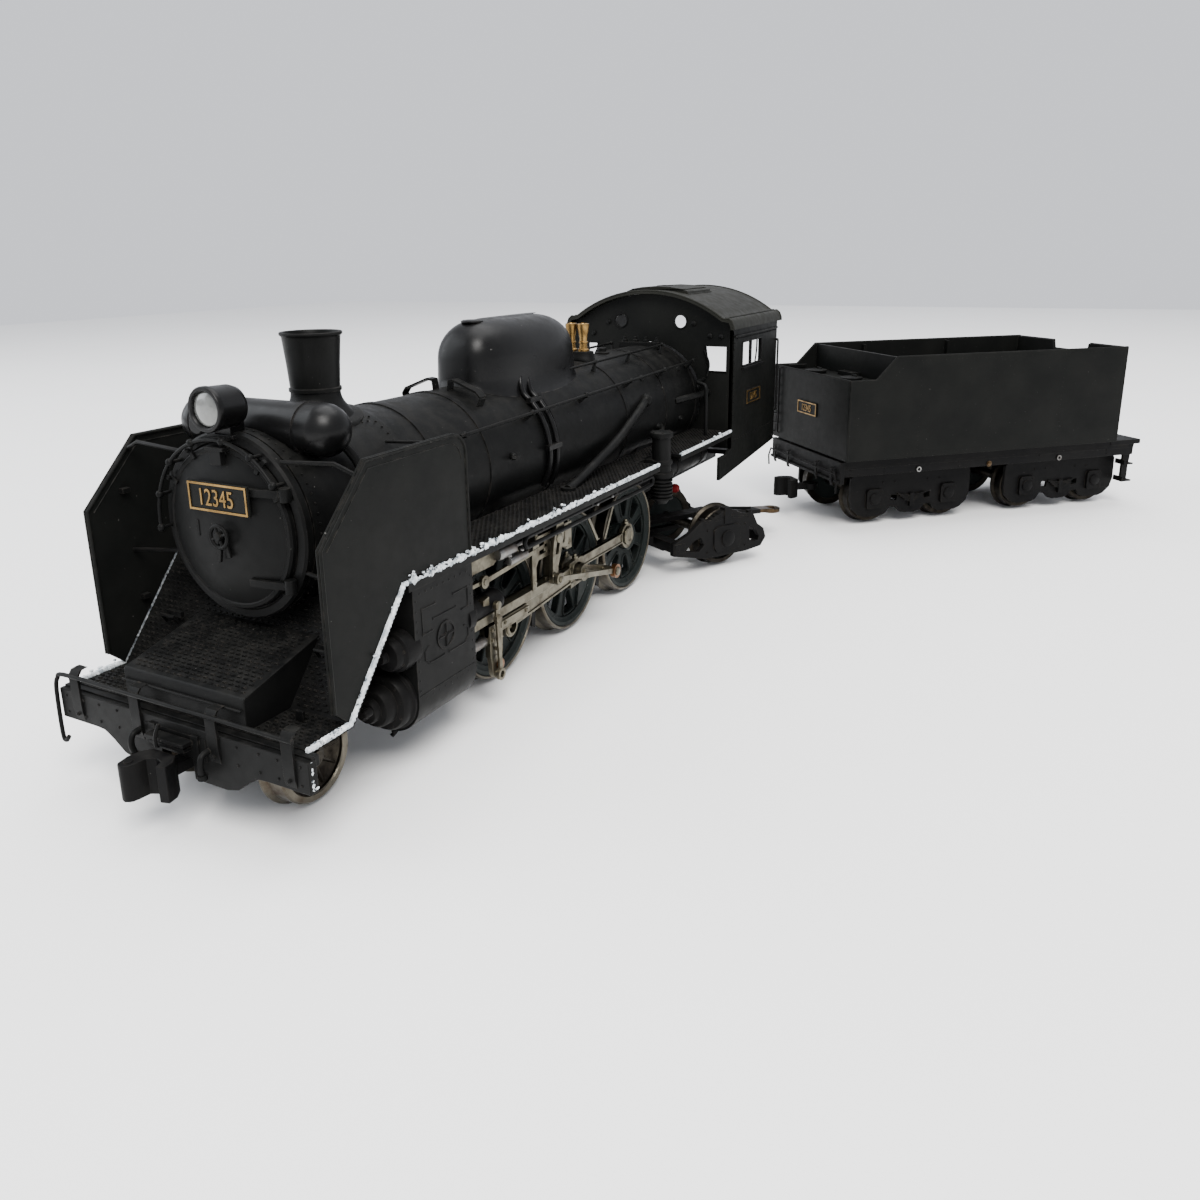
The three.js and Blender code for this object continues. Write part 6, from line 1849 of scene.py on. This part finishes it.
def roof_trim():
    trim = Shape()
    for y in (ROOF_START + 0.12, ROOF_END - 0.12):
        edge = [Vector((x, y, z)) for x, z in ROOF_OUTER]
        trim.tube(edge, 0.2, 8)
    for s in (1, -1):
        trim.tube([(s * 16.2, ROOF_START + 0.3, 46.15), (s * 16.2, ROOF_END - 0.3, 46.15)], 0.2, 8)
    top = [(-6.6, 49.9), (-6.6, 50.9),
           *[(x, 24.75 + sqrt(27.1 ** 2 - x * x)) for x in (-5.5, -3, 0, 3, 5.5)], (6.6, 50.9), (6.6, 49.9)]
    trim.plate(top, "y", 55.0, 67.0)
    trim.plate([(x * 1.05, z + 0.02) for x, z in top if z > 50.95], "y", 54.7, 67.3)
    for s in (1, -1):
        trim.tube([(s * 6.75, 54.8, 50.35), (s * 6.75, 67.2, 50.35)], 0.16, 8)
    trim.box((-1.1, 1.1), (57.5, 60.5), (51.4, 51.95))
    piece("roof_hatch_and_rims", trim, ROOF, bevel=0.08)


frame_plates()
brake_hangers()
pivot_screws()
keeper_plate()
pony_truck()
trailing_truck()
drawbar()
cab_shell()
cab_trim()
cab_floor()
cab_number_plates()
backhead()
gauge_set()
cab_seats()
roof()
roof_trim()


# ---- tender; its pieces are drawn with +X to its front ----
TANK_PROFILE = [(TANK_REAR, 16.2), (TANK_FRONT, 16.2), (TANK_FRONT, 37.0), (-26.4, 37.2), (-30.9, 32.7),
                (TANK_REAR, 32.7)]
TANK_BRIM = [(17.1, 36.9), (4.8, 36.9), (4.4, 35.0), (-6.1, 35.0), (-6.5, 36.9), (-17.1, 36.9)]


def tank():
    side = Shape()
    for s in (1, -1):
        side.plate(TANK_PROFILE, "y", s * 16.75, s * TANK_HALF)
    side.plate([(-17.1, 16.2), (17.1, 16.2), *TANK_BRIM], "x", 29.6, TANK_FRONT)
    side.plate(rect(-17.1, 17.1, 16.2, 32.6), "x", TANK_REAR, -36.2)
    side.plate(rect(-16.9, 16.9, 31.6, 37.1), "x", -26.0, -25.4)
    side.box((-36.3, -25.4), (-16.9, 16.9), (31.0, 31.6))
    side.box((-36.3, 29.9), (-16.9, 16.9), (16.3, 20.6))
    piece("tender_tank", side, PLATE_BLACK, "tender", TENDER, bevel=0.06)


def coal_space_floor():
    slope = Shape()
    floor = [(-25.2, 33.0), (6, 21.0), (29.7, 21.0), (29.7, 20.4), (5.8, 20.4), (-25.2, 32.4)]
    slope.plate(floor, "y", -16.8, 16.8)
    piece("coal_space_floor", slope, BLACK, "tender", TENDER, bevel=0.05)


def tank_edges():
    edge = Shape()
    for s in (1, -1):
        edge.tube([(u, s * 17.05, z) for u, z in TANK_PROFILE[2:]], 0.2, 8)
        edge.tube([(-36.5, s * 17.1, 16.6), (-36.5, s * 17.1, 32.6)], 0.24, 8)
        edge.tube([(30.2, s * 17.1, 16.6), (30.2, s * 17.1, 36.9)], 0.22, 8)
        for u in (-20.5, -3.2, 14.2):
            edge.rivets([(u, s * TANK_HALF, z) for z in grid(17.4, 36.4, 0.95)], 0.075, (0, 1, 0))
        for z in (17.1, 36.3):
            edge.rivets([(u, s * TANK_HALF, z) for u in grid(-26, 29.8, 0.95)], 0.075, (0, 1, 0))
        edge.box((-14.2, -13.6), (s * 15.6, s * 16.8), (30.0, 36.6))
        edge.box((8.6, 9.2), (s * 15.6, s * 16.8), (26.0, 36.6))
        edge.tube([(-33.4, s * 15.9, 31.6), (-33.4, s * 15.9, 32.5), (-29.0, s * 15.9, 32.5),
                   (-29.0, s * 15.9, 31.6)], 0.2, 8)
    edge.tube([(30.2, v, z) for v, z in TANK_BRIM], 0.2, 8)
    edge.tube([(-36.6, -17, 32.7), (-36.6, 17, 32.7)], 0.22, 8)
    piece("tender_edges", edge, PLATE_BLACK, "tender", TENDER, bevel=0.03)


def tank_fittings():
    top = Shape()
    for v in (-7.5, 7.5):
        top.lathe([(0, 31.5), (2.2, 31.5), (2.2, 31.9), (2.4, 32.0), (2.4, 32.3), (2.0, 32.4), (0, 32.45)],
                  "z", (-31.0, v, 0), 32)
        top.box((-33.4, -32.9), (v - 0.8, v + 0.8), (31.6, 32.2))
        top.tube([(-30.2, v - 0.8, 32.4), (-30.2, v - 0.8, 32.7), (-30.2, v + 0.8, 32.7),
                  (-30.2, v + 0.8, 32.4)], 0.14, 8)
    top.box((-28.2, -26.4), (-3.0, 3.0), (31.6, 32.5))
    for z in grid(18.5, 31.5, 2.3):
        top.tube([(-37.3, 13.0, z), (-37.3, 15.6, z)], 0.2, 8)
    for v in (13.0, 15.6):
        top.tube([(-36.9, v, 17.4), (-37.3, v, 17.6), (-37.3, v, 32.3), (-36.9, v, 32.5)], 0.2, 8)
    for z in grid(20.5, 35.5, 2.4):
        top.box((TANK_FRONT, TANK_FRONT + 0.35), (3.8, 7.6), (z - 0.22, z + 0.22))
    top.box((TANK_FRONT, TANK_FRONT + 0.5), (-6.0, 2.4), (22.0, 29.0))
    top.box((TANK_FRONT, TANK_FRONT + 0.8), (-5.4, 1.8), (21.4, 22.2))
    for v, h in ((-14.2, 34.0), (14.8, 34.0)):
        top.tube([(TANK_FRONT + 0.1, v, 20), (TANK_FRONT + 0.8, v, 20.2), (TANK_FRONT + 0.8, v, h),
                  (TANK_FRONT + 0.1, v, h + 0.2)], 0.22, 8)
        top.drum(0.5, 20.4, 21.4, "z", (TANK_FRONT + 0.9, v * 0.78, 0), 12)
        top.tube([(TANK_FRONT + 0.9, v * 0.78, 16.4), (TANK_FRONT + 0.9, v * 0.78, 20.6)], 0.3, 8)
    piece("tender_fittings", top, BLACK, "tender", TENDER, bevel=0.05)
    to_tender = ENGINE.inverted() @ TENDER
    number_plate("tender_number_plate", "tender",
                 to_tender @ facing((TANK_REAR - 0.15, 0, 25.0), (-1, 0, 0)))


def tender_frame():
    base = Shape()
    base.plate(rect(-36.2, 37.4, -15.2, 15.2), "z", 14.5, 15.8)
    base.plate(rect(30.8, 38.9, -15.3, 15.3), "z", 14.9, 15.9)
    base.box((-36, 37), (-4.4, 4.4), (12.7, 14.6))
    base.box((-37.1, -36.1), (-15.6, 15.6), (11.1, 15.8))
    for s in (1, -1):
        base.box((-36, 37.2), (s * 14.6, s * 15.2), (12.5, 14.6))
        base.box((-36, 37.2), (s * 13.6, s * 15.2), (14.1, 14.6))
    for u in (-26, -8.5, 1.9, 12, 30):
        base.box((u - 0.4, u + 0.4), (-14.6, 14.6), (13.0, 14.5))
    for u in (BOGIES["rear"], BOGIES["front"]):
        base.drum(1.5, 9.6, 12.8, "z", (u, 0, 0), 28)
        base.sleeve(1.6, 3.4, 11.6, 12.8, "z", (u, 0, 0), 32)
    piece("tender_frame", base, CHASSIS, "tender", TENDER, bevel=0.07)


def underframe_fittings():
    extra = Shape()
    for s in (1, -1):
        for u in (-34.5, -26.4, -8.3, 12.2, 30.1):
            extra.rivets([(u, s * 15.22, z) for z in (13.0, 13.9)], 0.16, (0, 1, 0))
        extra.plate(rect(35.7, 37.3, 6.4, 14.2), "y", s * 13.7, s * 14.3)
        for z in (6.1, 10.0):
            extra.box((35.7, 38.2), (s * 12.1, s * 14.8), (z, z + 0.35))
            extra.box((35.7, 36.0), (s * 12.1, s * 14.8), (z, z + 1.1))
        extra.tube([(38.4, s * 13.0, 14.4), (38.5, s * 13.0, 11.5), (38.5, s * 13.0, 9.5)],
                   [0.3, 0.24, 0.1], 8)
        extra.box((-12.5, 12.0), (s * 12.2, s * 13.4), (13.0, 14.4))
        for u in (-4.6, 6.4):
            extra.lathe([(0, -1.9), (0.85, -1.9), (1.0, -1.5), (1.0, 1.5), (0.85, 1.9), (0, 1.9)], "x",
                        (u, s * 9.0, 13.3), 24)
    extra.box((-37.6, -37.1), (-15.4, 15.4), (11.4, 11.9))
    for v in (-13, -6.5, 6.5, 13):
        extra.strip([(-37.5, v, 10.6), (-37.7, v, 11.4), (-37.75, v, 14.2), (-37.3, v, 14.5)], (0, 0.9, 0),
                    (0.26, 0, 0))
    extra.tube([(-37.9, -15.5, 9.4), (-38.0, -15.6, 11.6), (-37.9, -14.8, 13.4), (-37.9, 14.8, 13.4),
                (-38.0, 15.6, 11.6), (-37.9, 15.5, 9.4)], 0.2, 8)
    piece("tender_underframe_fittings", extra, CHASSIS, "tender", TENDER, bevel=0.05)


def sill_rings():
    rings = Shape()
    for s in (1, -1):
        for u in (-18.3, 17.2):
            rings.sleeve(0.32, 0.58, s * 15.15, s * 15.5, "y", (u, 0, 13.1), 20)
    piece("sill_rings", rings, STEEL, "tender", TENDER)
    bolts = Shape()
    for s in (1, -1):
        bolts.bolt((-0.8, s * 15.2, 13.0), "y", 0.5, 0.4, s)
    piece("sill_bolts", bolts, DARK_BRONZE, "tender", TENDER)


def tender_bogie(which, number):
    u0 = BOGIES[which]
    place = TENDER @ Matrix.Translation((u0, 0, 0))
    node = f"tender_bogie_{which}"
    sides = Shape()
    half = [(14.7, 11.2), (14.8, 6.4), (14.2, 4.4), (12.6, 3.0), (11.2, 2.5), (7.2, 2.5), (6.0, 3.0),
            (5.0, 4.4), (3.6, 4.2), (2.4, 3.0), (1.2, 2.7)]
    outline = [*half, *[(-u, z) for u, z in reversed(half)], (-14.0, 12.0), (14.0, 12.0)]
    cuts = [[(e * 3.4, 5.6), (e * 4.8, 5.8), (e * 4.8, 7.0), (e * 3.2, 6.8)] for e in (1, -1)]
    for s in (1, -1):
        sides.plate(outline, "y", s * 11.0, s * 11.7, holes=cuts)
        for e in (1, -1):
            axle = e * BOGIE_BASE
            sides.plate([(axle - 1.7, 4.4), (axle + 1.7, 4.4), (axle + 1.9, 5.0), (axle + 1.9, 8.0),
                         (axle + 1.5, 8.6), (axle - 1.5, 8.6), (axle - 1.9, 8.0), (axle - 1.9, 5.0)], "y",
                        s * 11.6, s * 12.35)
            sides.lathe([(r, s * x) for r, x in ((0, 12.3), (1.25, 12.3), (1.25, 12.6), (0.95, 12.75),
                                                 (0, 12.8))], "y", (axle, 0, 6.5), 24)
            sides.rivets([(axle + a, s * 12.4, b) for a in (-1.4, 1.4) for b in (5.0, 8.0)], 0.15,
                         (0, 1, 0))
        for k in range(4):
            sides.strip([(-3.4 + 0.55 * k, s * 11.9, 5.9 - 0.42 * k + 1.2),
                         (0, s * 11.9, 5.3 - 0.42 * k + 1.2),
                         (3.4 - 0.55 * k, s * 11.9, 5.9 - 0.42 * k + 1.2)], (0, 0.8, 0), (0, 0, 0.3))
        sides.box((-0.5, 0.5), (s * 11.5, s * 12.4), (4.2, 7.2))
        sides.rivets([(u, s * 11.75, 9.9) for u in (-7, -4, 4, 7)], 0.2, (0, 1, 0))
    sides.box((-2.1, 2.1), (-11.1, 11.1), (6.5, 9.2))
    sides.box((-1.6, 1.6), (-8.0, 8.0), (9.1, 10.7))
    sides.sleeve(1.65, 3.2, 9.0, 10.8, "z", (0, 0, 0), 32)
    piece(f"{node}_frame", sides, CHASSIS, node, place, replaces=[node], bevel=0.07)
    for e in (-1, 1):
        index = number + (e + 1) // 2
        wheels = f"tender_wheels_{index}"
        quarter = place @ Matrix.Translation((e * BOGIE_BASE, 0, 0)) @ Matrix.Rotation(radians(-90), 4, "Z")
        carrying_wheels(wheels, quarter, (0.0, 6.5), CARRYING_TREAD)


tank()
coal_space_floor()
tank_edges()
tank_fittings()
tender_frame()
underframe_fittings()
sill_rings()
tender_bogie("rear", 1)
tender_bogie("front", 3)


# ---- stage, light and camera ----
def area_light(name, energy, size, place, aim, colour=(1, 1, 1)):
    light = bpy.data.lights.new(name, "AREA")
    light.energy = energy
    light.size = size
    light.color = colour
    obj = bpy.data.objects.new(name, light)
    obj.location = place
    obj.rotation_euler = (Vector(aim) - Vector(place)).to_track_quat("-Z", "Y").to_euler()
    bpy.context.scene.collection.objects.link(obj)


def stage():
    floor = Shape().box((-900, 900), (-900, 900), (-2, 0))
    mesh = bpy.data.meshes.new("floor")
    mesh.from_pydata([v * MM + Vector((0, 0, cad_low.z)) for v in floor.verts], [], floor.faces)
    obj = bpy.data.objects.new("floor", mesh)
    bpy.context.scene.collection.objects.link(obj)
    n = Nodes("floor_paper")
    obj.data.materials.append(n.finish(n.mix(n.noise(0.02), (0.86, 0.86, 0.855), (0.90, 0.90, 0.895)), 0.9))
    world = bpy.data.worlds.new("studio")
    world.use_nodes = True
    world.node_tree.nodes["Background"].inputs[0].default_value = (0.92, 0.94, 1.0, 1)
    world.node_tree.nodes["Background"].inputs[1].default_value = 1.05
    bpy.context.scene.world = world
    area_light("key", 8.0, 0.35, (0.25, -0.35, 0.55), (0, 0, 0.02), (1.0, 0.98, 0.95))
    area_light("fill", 2.5, 0.5, (-0.5, -0.25, 0.30), (0, 0, 0.02), (0.92, 0.96, 1.0))
    area_light("top", 5.0, 0.6, (0.0, 0.15, 0.7), (0, 0, 0), (1, 1, 1))


def camera():
    data = bpy.data.cameras.new("camera")
    data.lens = 28.995
    data.sensor_width = 36.0
    data.shift_x = 0.0148
    data.shift_y = -0.0682
    data.clip_start = 0.005
    obj = bpy.data.objects.new("camera", data)
    # the camera's own sideways, upward and backward directions
    right = Vector((0.8795024, 0.47564802, -0.01531329))
    up = Vector((-0.112247, 0.238607, 0.964608))
    back = Vector((0.46246747, -0.84665569, 0.2632451))
    turn = Matrix((right, up, back)).transposed().to_4x4()
    obj.matrix_world = Matrix.Translation(ORIGIN + Vector((80.826, -125.368, 58.181)) * MM) @ turn
    bpy.context.scene.collection.objects.link(obj)
    bpy.context.scene.camera = obj


def refinish(material, *nodes):
    """Gives a better material to CAD solids that are shown as they are."""
    for node in nodes:
        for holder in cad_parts[node].material_slots:
            holder.material = material


refinish(CHASSIS, "motor")
refinish(STEEL, "worm_shaft")
refinish(NICKEL, *[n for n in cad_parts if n.startswith(("crank_plug", "wrist_ball"))])
stage()
camera()
